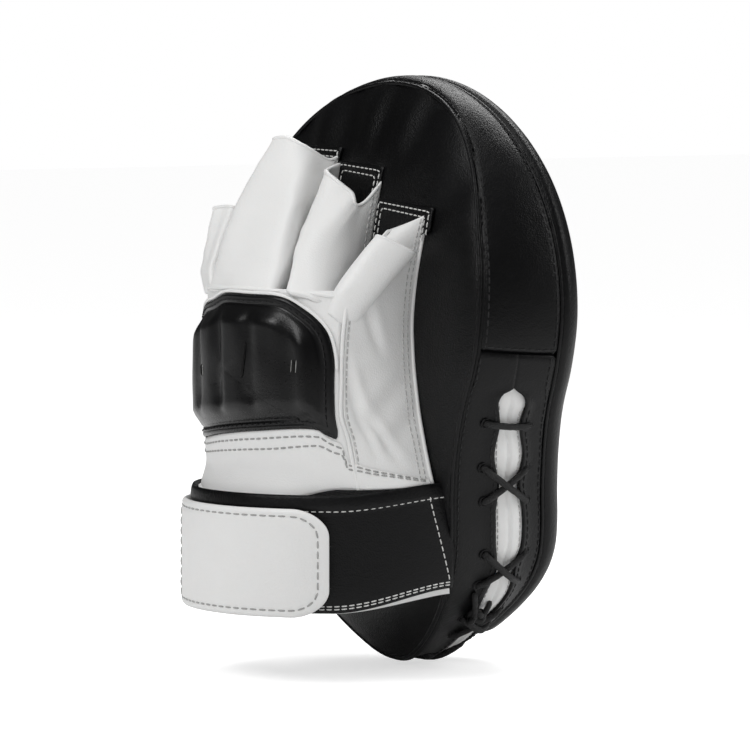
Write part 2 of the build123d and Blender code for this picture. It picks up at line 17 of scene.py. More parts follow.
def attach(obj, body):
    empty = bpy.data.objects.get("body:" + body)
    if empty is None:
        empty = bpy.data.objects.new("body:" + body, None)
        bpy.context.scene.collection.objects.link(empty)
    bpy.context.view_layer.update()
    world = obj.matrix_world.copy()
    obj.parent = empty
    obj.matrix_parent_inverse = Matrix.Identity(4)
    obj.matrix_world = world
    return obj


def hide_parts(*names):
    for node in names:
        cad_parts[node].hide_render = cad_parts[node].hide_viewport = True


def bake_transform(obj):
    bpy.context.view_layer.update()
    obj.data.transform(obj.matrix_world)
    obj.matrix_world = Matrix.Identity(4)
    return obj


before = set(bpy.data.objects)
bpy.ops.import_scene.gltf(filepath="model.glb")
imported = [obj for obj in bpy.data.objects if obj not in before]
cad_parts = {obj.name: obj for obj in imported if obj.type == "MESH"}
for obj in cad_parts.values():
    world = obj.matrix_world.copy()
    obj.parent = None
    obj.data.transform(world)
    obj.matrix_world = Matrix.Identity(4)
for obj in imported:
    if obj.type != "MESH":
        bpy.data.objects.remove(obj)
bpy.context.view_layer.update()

PALM = 21.2


def to_frame(x, y, z):
    return Vector((x / 1000.0, (y - PALM) / 1000.0, z / 1000.0))


# ------------------------------------------------------------------ numbers and curves
def lerp(a, b, t):
    return a + (b - a) * t


def mix(p, q, t):
    return tuple(lerp(a, b, t) for a, b in zip(p, q))


def clamp(t):
    return min(max(t, 0.0), 1.0)


def ramp(x, start, end):
    """Smooth step from 0 at start to 1 at end."""
    t = clamp((x - start) / (end - start))
    return t * t * (3 - 2 * t)


def gauss(x, width):
    """Bell curve, 1 at x = 0."""
    return exp(-(x / width) ** 2)


def rise(distance, width):
    """0 at an edge, running up to 1 inside it."""
    return 1 - exp(-distance / width)


def arch(t):
    """0 at t = 0 and 1, 1 in the middle."""
    return sin(pi * t)


def catmull(before, start, end, after, t):
    return tuple(
        0.5 * (2 * b + (c - a) * t + (2 * a - 5 * b + 4 * c - d) * t * t
               + (-a + 3 * b - 3 * c + d) * t**3)
        for a, b, c, d in zip(before, start, end, after))


def spline(points, t):
    """Catmull-Rom curve through the points, t in 0..1, uniform."""
    last = len(points) - 1
    place = clamp(t) * last
    i = min(int(place), last - 1)
    start, end = points[i], points[i + 1]
    before = points[i - 1] if i > 0 else mix(start, end, -1)
    after = points[i + 2] if i + 2 <= last else mix(start, end, 2)
    return catmull(before, start, end, after, place - i)


def lookup(table, x):
    """Smooth value at x from a list of (x, value) in rising order, held past both ends."""
    if x <= table[0][0]:
        return table[0][1]
    if x >= table[-1][0]:
        return table[-1][1]
    i = next(k for k in range(len(table) - 1) if table[k][0] <= x <= table[k + 1][0])

    def slope(k):
        left, right = table[max(k - 1, 0)], table[min(k + 1, len(table) - 1)]
        return (right[1] - left[1]) / (right[0] - left[0])

    (x0, value0), (x1, value1) = table[i], table[i + 1]
    span = x1 - x0
    t = (x - x0) / span
    return ((2 * t**3 - 3 * t**2 + 1) * value0 + (t**3 - 2 * t**2 + t) * span * slope(i)
            + (-2 * t**3 + 3 * t**2) * value1 + (t**3 - t**2) * span * slope(i + 1))


def noise_at(point, scale, seed):
    x, y, z = point
    return noise.noise(Vector((x * scale + seed, y * scale - seed * 0.7,
                               z * scale + seed * 1.3)))


# ------------------------------------------------------------------ points
def sub(a, b):
    return (a[0] - b[0], a[1] - b[1], a[2] - b[2])


def along(point, direction, distance):
    return tuple(a + b * distance for a, b in zip(point, direction))


def dot(a, b):
    return sum(x * y for x, y in zip(a, b))


def cross(a, b):
    return (a[1] * b[2] - a[2] * b[1], a[2] * b[0] - a[0] * b[2], a[0] * b[1] - a[1] * b[0])


def unit(a):
    length = sqrt(a[0] ** 2 + a[1] ** 2 + a[2] ** 2) or 1.0
    return (a[0] / length, a[1] / length, a[2] / length)


def on_circle(x, z, radius, angle):
    """Point on a circle in the XZ plane, angle in degrees from +X."""
    return x + radius * cos(radians(angle)), z + radius * sin(radians(angle))


def spaced(corners, step, least):
    """Points about step apart from corner to corner, without the last corner."""
    points = []
    for a, b in zip(corners, corners[1:]):
        count = max(least, int(dist(a, b) / step))
        points += [mix(a, b, k / count) for k in range(count)]
    return points


def resample(path, step):
    """Even steps along a path of (point, normal)."""
    out, travelled, target = [path[0]], 0.0, step
    for (p, p_normal), (q, q_normal) in zip(path, path[1:]):
        length = dist(p, q)
        while length > 0 and travelled + length >= target:
            t = (target - travelled) / length
            out.append((mix(p, q, t), unit(mix(p_normal, q_normal, t))))
            target += step
        travelled += length
    return out


def centre_of(outline):
    return tuple(sum(p[i] for p in outline) / len(outline) for i in (0, 1))


# ------------------------------------------------------------------ mesh builders
WELD = 1e-6  # metres


def build(name, verts, faces, material, body=None, nodes=()):
    """Mesh object from drawing points. It rides on body, if one is given."""
    mesh = bpy.data.meshes.new(name)
    mesh.from_pydata([to_frame(*v) for v in verts], [], faces)
    mesh.validate()
    bm = bmesh.new()
    bm.from_mesh(mesh)
    bmesh.ops.remove_doubles(bm, verts=bm.verts, dist=WELD)
    bmesh.ops.dissolve_degenerate(bm, edges=bm.edges, dist=WELD)
    bmesh.ops.recalc_face_normals(bm, faces=bm.faces)
    bm.to_mesh(mesh)
    bm.free()
    for polygon in mesh.polygons:
        polygon.use_smooth = True
    mesh.materials.append(material)
    ob = bpy.data.objects.new(name, mesh)
    bpy.context.scene.collection.objects.link(ob)
    if body:
        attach(ob, body)
    if nodes:
        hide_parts(*nodes)
    return ob


def strip(first, second, count):
    """Quads between two closed rings of count vertices that start at these indices."""
    return [(first + k, first + (k + 1) % count, second + (k + 1) % count, second + k)
            for k in range(count)]


def closed_sheet(name, top, top_centre, bottom, bottom_centre, material, body=None, nodes=()):
    """Closed form. top and bottom are lists of rings that run from the rim inwards."""
    count = len(top[0])
    verts = [p for loop in top for p in loop] + [top_centre]
    below = len(verts)
    verts += [p for loop in bottom for p in loop] + [bottom_centre]
    end = len(verts) - 1
    last_top, last_bottom = below - 1 - count, end - count
    faces = []
    for i in range(len(top) - 1):
        faces += strip(i * count, (i + 1) * count, count)
    for a, b, c, d in strip(0, below, count):
        faces += [(last_top + a, last_top + b, below - 1), (b, a, d, c),
                  (last_bottom + b, last_bottom + a, end)]
    for i in range(len(bottom) - 1):
        start = below + i * count
        faces += [(b, a, d, c) for a, b, c, d in strip(start, start + count, count)]
    return build(name, verts, faces, material, body, nodes)


class Surface:
    """A sheet of leather, point(u, v) in drawing mm. Its outside faces away from inside."""

    def __init__(self, point, inside, closed=False):
        self.point, self.closed, self.sign = point, closed, 1.0
        if dot(sub(point(0.5, 0.5), inside), self.normal(0.5, 0.5)) < 0:
            self.sign = -1.0

    def normal(self, u, v, step=0.004):
        u0, u1 = u - step, u + step
        if not self.closed:
            u0, u1 = max(u0, 0.0), min(u1, 1.0)
        v0, v1 = max(v - step, 0.0), min(v + step, 1.0)
        n = unit(cross(sub(self.point(u1, v), self.point(u0, v)),
                       sub(self.point(u, v1), self.point(u, v0))))
        return tuple(self.sign * c for c in n)

    def mesh(self, name, nu, nv, thickness, material, body=None, nodes=()):
        """Closed mesh: the outer layer on the surface, the inner one thickness inside."""
        columns = nu if self.closed else nu + 1
        outer, inner, verts, faces = {}, {}, [], []
        for i in range(columns):
            for j in range(nv + 1):
                u, v = i / nu, j / nv
                outer[i, j], inner[i, j] = len(verts), len(verts) + 1
                p = self.point(u, v)
                verts += [p, along(p, self.normal(u, v), -thickness)]
        # the order of this set is also the order of the faces
        cells = {(i, j) for i in range(nu) for j in range(nv)}
        for i, j in cells:
            i2 = (i + 1) % columns
            faces.append((outer[i, j], outer[i2, j], outer[i2, j + 1], outer[i, j + 1]))
            faces.append((inner[i, j], inner[i, j + 1], inner[i2, j + 1], inner[i2, j]))
            for a, b, next_i, next_j in (((i, j), (i2, j), i, j - 1),
                                         ((i, j + 1), (i2, j + 1), i, j + 1),
                                         ((i, j), (i, j + 1), i - 1, j),
                                         ((i2, j), (i2, j + 1), i + 1, j)):
                if self.closed:
                    next_i %= nu
                if (next_i, next_j) not in cells:
                    faces.append((outer[a], outer[b], inner[b], inner[a]))
        return build(name, verts, faces, material, body, nodes)

    def path(self, corners):
        """(point, normal) about every millimetre along a line of (u, v)."""
        places = []
        for a, b in zip(corners, corners[1:]):
            count = max(2, int(dist(self.point(*a), self.point(*b)) / 1.0))
            places += [mix(a, b, k / count) for k in range(count)]
        return [(self.point(*uv), self.normal(*uv)) for uv in places + [corners[-1]]]

    def row(self, v, count, first=0, last=None):
        """Path at one v, through u = first / count .. last / count."""
        last = count if last is None else last
        return self.path([(k / count, v) for k in range(first, last + 1)])

    def column(self, u, count, first=0, last=None):
        """Path at one u, through v = first / count .. last / count."""
        last = count if last is None else last
        return self.path([(u, k / count) for k in range(first, last + 1)])


# rings of one stitch: place along it, share of the radius, rise in mm
STITCH_RINGS = ((-0.5, 0.35, -0.10), (-0.40, 0.9, 0.0), (0.0, 1.0, 0.10),
                (0.40, 0.9, 0.0), (0.5, 0.35, -0.10))
STITCH_SIDES = 6
STITCH_WIDEN = 1.15


def stitches(name, paths, material, body=None, *, length, gap, radius, lift):
    """Rows of thread: one small rounded capsule per stitch."""
    verts, faces = [], []
    for path in paths:
        points = resample(path, (length + gap) / 4.0)
        for k in range(0, len(points) - 3, 4):
            (a, a_normal), (b, b_normal) = points[k], points[k + 3]
            ahead = unit(sub(b, a))
            up = unit(mix(a_normal, b_normal, 0.5))
            side = unit(cross(ahead, up))
            middle, span, base = mix(a, b, 0.5), dist(a, b), len(verts)
            for shift, share, ring_rise in STITCH_RINGS:
                for h in range(STITCH_SIDES):
                    angle = pi * 2 * h / STITCH_SIDES
                    p = along(middle, ahead, shift * span)
                    p = along(p, up, lift + ring_rise + sin(angle) * radius * share)
                    verts.append(along(p, side, cos(angle) * radius * share * STITCH_WIDEN))
            end = len(verts) - STITCH_SIDES
            for first in range(base, end, STITCH_SIDES):
                faces += strip(first, first + STITCH_SIDES, STITCH_SIDES)
            faces.append(tuple(base + h for h in reversed(range(STITCH_SIDES))))
            faces.append(tuple(end + h for h in range(STITCH_SIDES)))
    return build(name, verts, faces, material, body)


TIP_SHARE = 0.55  # radius at the open ends of a tube


def tube(points, radius, sides, closed, twist, bump):
    """Vertices and faces of a round cord; bump and twist give its surface a braid."""
    verts, faces = [], []
    n = len(points)
    side, travelled = None, 0.0
    for i in range(n):
        before = points[(i - 1) % n] if closed or i > 0 else points[i]
        after = points[(i + 1) % n] if closed or i < n - 1 else points[i]
        ahead = unit(sub(after, before))
        if side is None:
            reference = (0.0, 0.0, 1.0) if abs(ahead[2]) < 0.9 else (1.0, 0.0, 0.0)
            side = unit(cross(ahead, reference))
        else:
            side = unit(along(side, ahead, -dot(side, ahead)))
            travelled += dist(points[i - 1], points[i])
        up = cross(ahead, side)
        r = radius * TIP_SHARE if not closed and i in (0, n - 1) else radius
        for h in range(sides):
            angle = pi * 2 * h / sides
            k = r * (1 + bump * cos(3 * angle + twist * travelled)
                     + bump * cos(3 * angle - twist * travelled))
            verts.append(tuple(p + (cos(angle) * x + sin(angle) * y) * k
                               for p, x, y in zip(points[i], side, up)))
    for i in range(n if closed else n - 1):
        faces += strip(i * sides, (i + 1) % n * sides, sides)
    if not closed:
        faces.append(tuple(reversed(range(sides))))
        faces.append(tuple((n - 1) * sides + h for h in range(sides)))
    return verts, faces


def tubes(name, lines, radius, material, body=None, nodes=(), sides=8, closed=False,
          twist=0.0, bump=0.0):
    """One object of several round cords."""
    verts, faces = [], []
    for points in lines:
        tube_verts, tube_faces = tube(points, radius, sides, closed, twist, bump)
        faces += [tuple(i + len(verts) for i in face) for face in tube_faces]
        verts += tube_verts
    return build(name, verts, faces, material, body, nodes)


# ------------------------------------------------------------------ materials
class Shader:
    """A material with a Principled surface, and shorthands for the nodes that feed it."""

    def __init__(self, name):
        self.material = bpy.data.materials.new(name)
        self.material.use_nodes = True
        self.tree = self.material.node_tree
        for node in list(self.tree.nodes):
            self.tree.nodes.remove(node)
        output = self.node("OutputMaterial")
        self.surface = self.node("BsdfPrincipled")
        self.tree.links.new(self.surface.outputs[0], output.inputs[0])
        self.coords = self.node("TexCoord")

    def fill(self, node, inputs):
        """Set inputs, or link them where the value is another node's output."""
        for key, value in inputs.items():
            if isinstance(value, bpy.types.NodeSocket):
                self.tree.links.new(value, node.inputs[key])
            else:
                node.inputs[key].default_value = value

    def node(self, kind, inputs={}, **settings):
        node = self.tree.nodes.new("ShaderNode" + kind)
        for key, value in settings.items():
            setattr(node, key, value)
        self.fill(node, inputs)
        return node

    def texture(self, kind, inputs, **settings):
        return self.node(kind, {**inputs, "Vector": self.coords.outputs["Object"]}, **settings)

    def noise(self, scale, detail=4.0, rough=0.55, distortion=0.0):
        return self.texture("TexNoise", {"Scale": scale, "Detail": detail, "Roughness": rough,
                                         "Distortion": distortion}).outputs["Fac"]

    def cells(self, scale, feature="F1"):
        return self.texture("TexVoronoi", {"Scale": scale}, feature=feature).outputs["Distance"]

    def waves(self, scale, distortion, axis="X"):
        return self.texture("TexWave", {"Scale": scale, "Distortion": distortion},
                            bands_direction=axis).outputs["Fac"]

    def math(self, operation, a, b):
        return self.node("Math", {0: a, 1: b}, operation=operation).outputs[0]

    def spread(self, value, source, target):
        return self.node("MapRange", {
            "From Min": source[0], "From Max": source[1],
            "To Min": target[0], "To Max": target[1], "Value": value}).outputs[0]

    def blend(self, factor, a, b):
        return self.node("Mix", {"Factor": factor, "A": (*a, 1), "B": (*b, 1)},
                         data_type="RGBA").outputs["Result"]

    def finish(self, color, rough, height, strength, distance, **surface):
        """Feed the surface; bump distance in metres. Other inputs by name, _ for a space."""
        self.fill(self.surface, {"Base Color": color, "Roughness": rough})
        self.fill(self.surface, {key.replace("_", " "): v for key, v in surface.items()})
        bump = self.node("Bump", {"Strength": strength, "Distance": distance,
                                  "Height": height})
        self.tree.links.new(bump.outputs[0], self.surface.inputs["Normal"])
        return self.material


def leather(name, base, light, rough, grain, grain_scale, wear=0.35, **surface):
    """Grained leather: patches and worn edges go to the light colour."""
    s = Shader(name)
    broad = s.noise(14.0, detail=3.0)
    fine = s.noise(grain_scale * 0.55, detail=5.0, rough=0.6, distortion=0.4)
    cell = s.cells(grain_scale)
    crease = s.cells(grain_scale * 0.33, feature="SMOOTH_F1")
    pointiness = s.node("NewGeometry").outputs["Pointiness"]
    edge = s.spread(pointiness, source=(0.52, 0.60), target=(0.0, wear))
    patches = s.spread(broad, source=(0.3, 0.7), target=(0.0, 0.6))
    color = s.blend(s.math("ADD", patches, edge), base, light)
    mottle = s.math("ADD", s.math("MULTIPLY", broad, 0.6), s.math("MULTIPLY", fine, 0.4))
    roughness = s.spread(mottle, source=(0.3, 0.7), target=rough)
    small = s.math("ADD", s.math("MULTIPLY", fine, 0.7), s.math("MULTIPLY", crease, 0.5))
    height = s.math("ADD", s.math("MULTIPLY", cell, 1.0), small)
    return s.finish(color, roughness, height, strength=grain, distance=0.0004, **surface)


def thread(name, color):
    s = Shader(name)
    ply = s.waves(scale=900.0, distortion=1.5)
    dark = tuple(c * 0.6 for c in color)
    return s.finish(s.blend(ply, dark, color), 0.6, ply, strength=0.5, distance=0.0002,
                    Sheen_Weight=0.2 if color[0] > 0.1 else 0.0, Specular_IOR_Level=0.3)


def woven(name, light, dark, scale, rough=0.8, strength=0.6, sheen=0.2):
    s = Shader(name)
    weave = s.math("MAXIMUM", *[s.waves(scale, distortion=0.6, axis=a) for a in "XZ"])
    patches = s.spread(s.noise(30.0), source=(0.2, 0.8), target=(0.7, 1.0))
    color = s.blend(s.math("MULTIPLY", weave, patches), dark, light)
    return s.finish(color, rough, weave, strength=strength, distance=0.0003,
                    Sheen_Weight=sheen)


def foam(name, dark, light):
    s = Shader(name)
    cell = s.cells(900.0)
    return s.finish(s.blend(cell, dark, light), 0.9, cell, strength=0.6, distance=0.0006)


BLACK = leather("mitt_black_leather", base=(0.0016, 0.0016, 0.0018),
                light=(0.0042, 0.0044, 0.0050), rough=(0.32, 0.45), grain=0.32,
                grain_scale=1500.0, Coat_Weight=0.0, Coat_Roughness=0.28,
                Specular_IOR_Level=0.24)
GLOSS = leather("mitt_gloss_leather", base=(0.0022, 0.0022, 0.0024),
                light=(0.004, 0.004, 0.0045), rough=(0.24, 0.34), grain=0.12,
                grain_scale=1700.0, Coat_Weight=0.06, Coat_Roughness=0.2,
                Specular_IOR_Level=0.34)
WHITE = leather("mitt_white_leather", base=(0.74, 0.74, 0.735), light=(0.80, 0.80, 0.79),
                rough=(0.36, 0.48), grain=0.16, grain_scale=1500.0, wear=0.2,
                Coat_Weight=0.08, Coat_Roughness=0.3, Specular_IOR_Level=0.45,
                Subsurface_Weight=0.06, Subsurface_Radius=(0.004, 0.003, 0.0025))
PRINT = leather("mitt_target_print", base=(0.50, 0.545, 0.60), light=(0.53, 0.575, 0.63),
                rough=(0.42, 0.55), grain=0.22, grain_scale=1500.0, wear=0.1,
                Coat_Weight=0.0, Coat_Roughness=0.3, Specular_IOR_Level=0.4)
THREAD_WHITE = thread("thread_white", color=(0.80, 0.80, 0.78))
THREAD_GREY = thread("thread_grey", color=(0.45, 0.45, 0.44))
THREAD_PALE = thread("thread_pale", color=(0.60, 0.60, 0.59))
THREAD_BLACK = thread("thread_black", color=(0.020, 0.020, 0.021))
CORD = woven("mitt_cord", light=(0.008, 0.008, 0.0085), dark=(0.003, 0.003, 0.003),
             scale=420.0, rough=0.62, strength=0.7, sheen=0.0)
LINING = woven("mitt_lining", light=(0.022, 0.022, 0.024), dark=(0.010, 0.010, 0.011),
               scale=330.0)
PILE = woven("mitt_loop_pile", light=(0.018, 0.018, 0.018), dark=(0.007, 0.007, 0.007),
             scale=600.0, rough=0.95, strength=1.0, sheen=0.5)
HOOK = woven("mitt_hook_tape", light=(0.62, 0.62, 0.60), dark=(0.40, 0.40, 0.39),
             scale=500.0, rough=0.55, strength=1.0, sheen=0.1)
FOAM = foam("mitt_foam", dark=(0.16, 0.16, 0.17), light=(0.26, 0.26, 0.27))
# near-black matte for the knuckle panel slits: painted shade inside the openings
HOLE = thread("mitt_hole_painted_shade", color=(0.004, 0.004, 0.004))

# ------------------------------------------------------------------ pad outline
FACE_Y = -17.4        # front seam plane, above the bend
BEND_SLOPE = 0.257    # below it the front leans forward
BEND_RADIUS = 150.0
HALF_HEIGHT = 125.0
BACK_Y = 18.0         # back seam at mid height
BACK_SAG = 24.0       # and how far it has come forward at both ends
BACK_RADIUS = (HALF_HEIGHT**2 + BACK_SAG**2) / (2 * BACK_SAG)


def front_y(z):
    tangent = BEND_RADIUS * tan(atan(BEND_SLOPE) / 2)
    if z >= tangent:
        return FACE_Y
    if z <= -tangent * cos(atan(BEND_SLOPE)):
        return FACE_Y + BEND_SLOPE * z
    return FACE_Y - BEND_RADIUS + sqrt(BEND_RADIUS**2 - (z - tangent) ** 2)


def back_y(z):
    z = max(min(z, 200.0), -200.0)
    return BACK_Y - BACK_RADIUS + sqrt(BACK_RADIUS**2 - z * z)


def outline_arcs():
    """Tangent arcs down the +X side: centre x, z, radius, start and end angle, and
    1 where the outline is convex, -1 where it is hollow."""
    top_z, top_r = 20.0, 105.0
    corner_x, corner_z = 10.5, 30.0
    corner_r = top_r - hypot(corner_x, corner_z - top_z)
    corner_angle = degrees(atan2(corner_z - top_z, corner_x))
    flank_r, flank_end = 70.0, -30.0
    flank_x = corner_x + corner_r - flank_r
    waist_r, waist_end = 241.0, 163.3
    waist = on_circle(*on_circle(flank_x, corner_z, flank_r, flank_end), waist_r, flank_end)
    heel_r = 34.0
    heel_z = -HALF_HEIGHT + heel_r
    # the cheek leaves the waist at cheek_start and is tangent to the heel
    cheek_start = -16.7
    x, z = on_circle(*waist, waist_r, waist_end)
    nx, nz = on_circle(0.0, 0.0, 1.0, cheek_start)
    dz = z - heel_z
    cheek_r = (x * x + dz * dz - heel_r**2) / (2 * (x * nx + dz * nz - heel_r))
    cheek = (x - cheek_r * nx, z - cheek_r * nz)
    cheek_end = degrees(atan2(heel_z - cheek[1], -cheek[0]))
    return [
        (0.0, top_z, top_r, 90.0, corner_angle, 1),
        (corner_x, corner_z, corner_r, corner_angle, 0.0, 1),
        (flank_x, corner_z, flank_r, 0.0, flank_end, 1),
        (*waist, waist_r, flank_end + 180.0, waist_end, -1),
        (*cheek, cheek_r, cheek_start, cheek_end, 1),
        (0.0, heel_z, heel_r, cheek_end, -90.0, 1),
    ]


def outline_points():
    """(x, z, outward x, outward z) round the pad, about 0.8 mm apart."""
    half = []
    for cx, cz, radius, start, end, side in outline_arcs():
        count = max(3, int(abs(end - start) * radius / 57.3 / 0.8))
        for k in range(count):
            angle = lerp(start, end, k / count)
            nx, nz = on_circle(0.0, 0.0, 1.0, angle)
            half.append((*on_circle(cx, cz, radius, angle), nx * side, nz * side))
    half.append((0.0, -HALF_HEIGHT, 0.0, -1.0))
    return half + [(-x, z, -nx, nz) for x, z, nx, nz in reversed(half[1:-1])]


OUTLINE = outline_points()
OUTLINE_LENGTHS = [0.0]
for p, q in zip(OUTLINE, OUTLINE[1:] + OUTLINE[:1]):
    OUTLINE_LENGTHS.append(OUTLINE_LENGTHS[-1] + hypot(p[0] - q[0], p[1] - q[1]))
PERIMETER = OUTLINE_LENGTHS[-1]


def outline(u):
    """x, z and outward x, z by arc length: u is 0 at the finger end, goes down the
    little finger side, and is 0.5 at the heel."""
    d = u % 1.0 * PERIMETER
    i = min(bisect.bisect_right(OUTLINE_LENGTHS, d), len(OUTLINE)) - 1
    t = (d - OUTLINE_LENGTHS[i]) / max(OUTLINE_LENGTHS[i + 1] - OUTLINE_LENGTHS[i], 1e-9)
    return mix(OUTLINE[i], OUTLINE[(i + 1) % len(OUTLINE)], t)


def u_at(z, side):
    """Outline place at height z on the +X (1) or -X (-1) side."""
    low, high = 0.0, 0.5
    for _ in range(40):
        middle = (low + high) / 2
        if outline(middle)[1] > z:
            low = middle
        else:
            high = middle
    return low if side > 0 else 1.0 - low


def front_inset(z):
    """The face is a little shorter than the back at the heel."""
    return 10.0 * ramp(-z, 70, 124)


def back_inset(z):
    return lerp(0.6, 11.5, ramp(z, -95, 40)) * (1 - 0.85 * ramp(z, 62, 122))


def inset_outline(u, extra, profile=front_inset):
    """Outline point (x, z), moved inwards by extra plus the profile."""
    x, z, nx, nz = outline(u)
    amount = extra + profile(z)
    return x - nx * amount, z - nz * amount


def seams(u):
    """Front seam point, back seam point and outward direction."""
    fx, fz = inset_outline(u, 0.0)
    bx, bz = inset_outline(u, 0.0, back_inset)
    _, _, nx, nz = outline(u)
    return (fx, front_y(fz), fz), (bx, back_y(bz), bz), (nx, 0.0, nz)


def outward(u):
    return seams(u)[2]


WALL_PUFF, WALL_SINK = 1.8, 0.9
WALL_ROLL = 1.3  # depth and width of the rolled edge down into each seam


def wall(u, v):
    """Outside of the side wall, v 0 at the front seam and 1 at the back seam."""
    front, back, n = seams(u)
    p = mix(front, back, v)
    # the outward direction leans back where the wall tapers
    depth = unit(sub(back, front))
    leaning = unit(along(n, depth, -dot(n, depth)))
    from_seam = min(v, 1 - v) * dist(front, back)
    bulge = WALL_PUFF * arch(clamp(v)) ** 0.7 - WALL_SINK
    return along(p, leaning, bulge - WALL_ROLL * gauss(from_seam, WALL_ROLL))


def pad_form(name, front, back, shares, count, material, node):
    """Closed form on the pad. front(u, share) and back(u, share) run from the rim
    (share 0) to the middle (share 1)."""
    def loops(point, at):
        return [[point(k / count, share) for k in range(count)] for share in at]

    closed_sheet(name, loops(front, shares[:-1]), front(0.0, 1.0),
                 loops(back, (0.0, 0.35, 0.7)), back(0.0, 1.0), material, "pad", [node])


# ------------------------------------------------------------------ striking face
CENTRE = (0.0, 6.0)      # x, z of the middle of all pad forms
FACE_HEM = 0.012         # share taken by the tucked hem
FACE_SHOULDER = 0.28     # share where the rounded shoulder ends
FACE_CROWN = 3.6
RING_STEPS = 400


def shoulder(k):
    """Inset and depth; k is 0 at the seam and 1 at the end of the rounded shoulder."""
    angle = radians(84.0) * k
    return 24.0 * (1 - cos(angle)) - 0.6 * arch(min(k * 1.6, 1.0)) * (1 - k), \
        1.2 + 16.0 * sin(angle)


def crowned_y(x, z, q):
    """Depth of the stuffed face; q is 1 at the shoulder and 0 in the middle."""
    depth = shoulder(1.0)[1] + FACE_CROWN * (1 - q**2.2)
    return front_y(z) - depth + face_noise(x, z)


def face_noise(x, z):
    return 0.35 * noise_at((x, 0, z), 0.022, 3.1)


def face_front(u, share):
    if share < FACE_SHOULDER:
        inset, depth = shoulder(share / FACE_SHOULDER)
        if share < FACE_HEM:
            inset, depth = 1.2, 0.4
        x, z = inset_outline(u, inset)
        return (x, front_y(z) - depth + face_noise(x, z), z)
    q = 1 - (share - FACE_SHOULDER) / (1 - FACE_SHOULDER)
    x, z = mix(CENTRE, inset_outline(u, shoulder(1.0)[0]), q)
    return (x, crowned_y(x, z, q), z)


def face_back(u, share):
    x, z = mix(CENTRE, inset_outline(u, 2.0), 1 - share)
    return (x, front_y(z) - 0.2, z)


shares = ([0.0, 0.006] + [lerp(FACE_HEM, FACE_SHOULDER, k / 16) for k in range(17)]
          + [lerp(FACE_SHOULDER, 1.0, k / 30) for k in range(1, 31)])
pad_form("striking_face_leather", face_front, face_back, shares, RING_STEPS, BLACK,
         "face_cover")

# angle and distance from the centre to the end of the shoulder, round the pad
SHOULDER_EDGE = []
for k in range(720):
    x, z = inset_outline(k / 720, shoulder(1.0)[0])
    SHOULDER_EDGE.append((atan2(x - CENTRE[0], z - CENTRE[1]),
                          hypot(x - CENTRE[0], z - CENTRE[1])))
edge_cache = {}


def face_surface_y(x, z):
    """Depth of the crowned face at x, z, inside the shoulder."""
    angle = atan2(x - CENTRE[0], z - CENTRE[1])
    key = round(angle, 3)
    if key not in edge_cache:
        edge_cache[key] = min(
            SHOULDER_EDGE, key=lambda e: abs((e[0] - angle + pi) % (2 * pi) - pi))[1]
    return crowned_y(x, z, min(hypot(x - CENTRE[0], z - CENTRE[1]) / edge_cache[key], 1.0))


TARGET_Z = 2.0
FILM = 0.32  # thickness of the print


def film(name, inner, outer, node):
    """Thin round print laid on the crowned leather."""
    steps, count = 6, 128
    verts, faces = [], []
    for thickness in (FILM, 0.0):
        for i in range(steps + 1):
            r = lerp(inner, outer, i / steps)
            edge = 0.12 if i in (0, steps) and thickness and r > 0.5 else 0.0
            for k in range(count):
                angle = 2 * pi * k / count
                x, z = r * sin(angle), TARGET_Z + r * cos(angle)
                verts.append((x, face_surface_y(x, z) - thickness + edge, z))
    below = (steps + 1) * count
    for i in range(steps):
        for a, b, c, d in strip(i * count, (i + 1) * count, count):
            faces += [(a, b, c, d), (below + a, below + d, below + c, below + b)]
    rim = steps * count
    for quad, (a, b, c, d) in zip(strip(rim, below + rim, count), strip(0, below, count)):
        faces += [quad, (b, a, d, c)]
    build(name, verts, faces, PRINT, "pad", [node])


film("target_ring_print", 28.5, 41.0, "target_ring")
film("target_disc_print", 0.0, 19.0, "target_disc")

# ------------------------------------------------------------------ side wall
RIM_FRONT = 12.5      # front seam to the laced opening
SLOT_WIDTH = 12.5
SLOT_TOP = -5.0       # z of the opening's upper ends
SLOT_CAP = 6.5        # height of its rounded ends
CROSS_SEAM = 11.0     # z of the seam across the wall, above the opening
LACE_Z = (-19.0, -44.0, -80.5, -109.0)
SEAM_P, SEAM_T = u_at(CROSS_SEAM, 1), u_at(CROSS_SEAM, -1)


def wall_depth(u):
    front, back, _ = seams(u)
    return dist(front, back)


def lace_pinch(u):
    """How much the opening is drawn together: 1 at a crossing, 0 between."""
    z = outline(u)[1]
    return max([gauss(z - lace_z, 7.5) for lace_z in LACE_Z]
               + [gauss((u - 0.5) * PERIMETER, 8.0)])


def slot_edges(u):
    """Front and back edge of the opening as shares of the wall depth."""
    depth = wall_depth(u)
    z = seams(u)[0][2]
    middle = RIM_FRONT + SLOT_WIDTH / 2
    half = SLOT_WIDTH / 2 + 1.0 - 2.3 * lace_pinch(u)
    above = (z - (SLOT_TOP - SLOT_CAP)) / SLOT_CAP
    if above > 0:
        half *= sqrt(max(1 - above * above, 0.0))
    return (middle - half) / depth, (middle + half) / depth


def wall_skin(u, v, from_seam, lift=0.0):
    """Wall point with soft wrinkles and the groove beside a cross seam."""
    p = wall(u, v)
    wrinkle = 0.28 * noise_at(p, 0.045, 7.7) + 0.12 * noise_at(p, 0.13, 1.9)
    return along(p, outward(u), -1.1 * gauss(from_seam, 1.2) + wrinkle + lift)


def upper_point(u, v):
    span = (1.0 + SEAM_P - SEAM_T) * PERIMETER
    return wall_skin(lerp(SEAM_T, 1.0 + SEAM_P, u), v, min(u, 1 - u) * span)


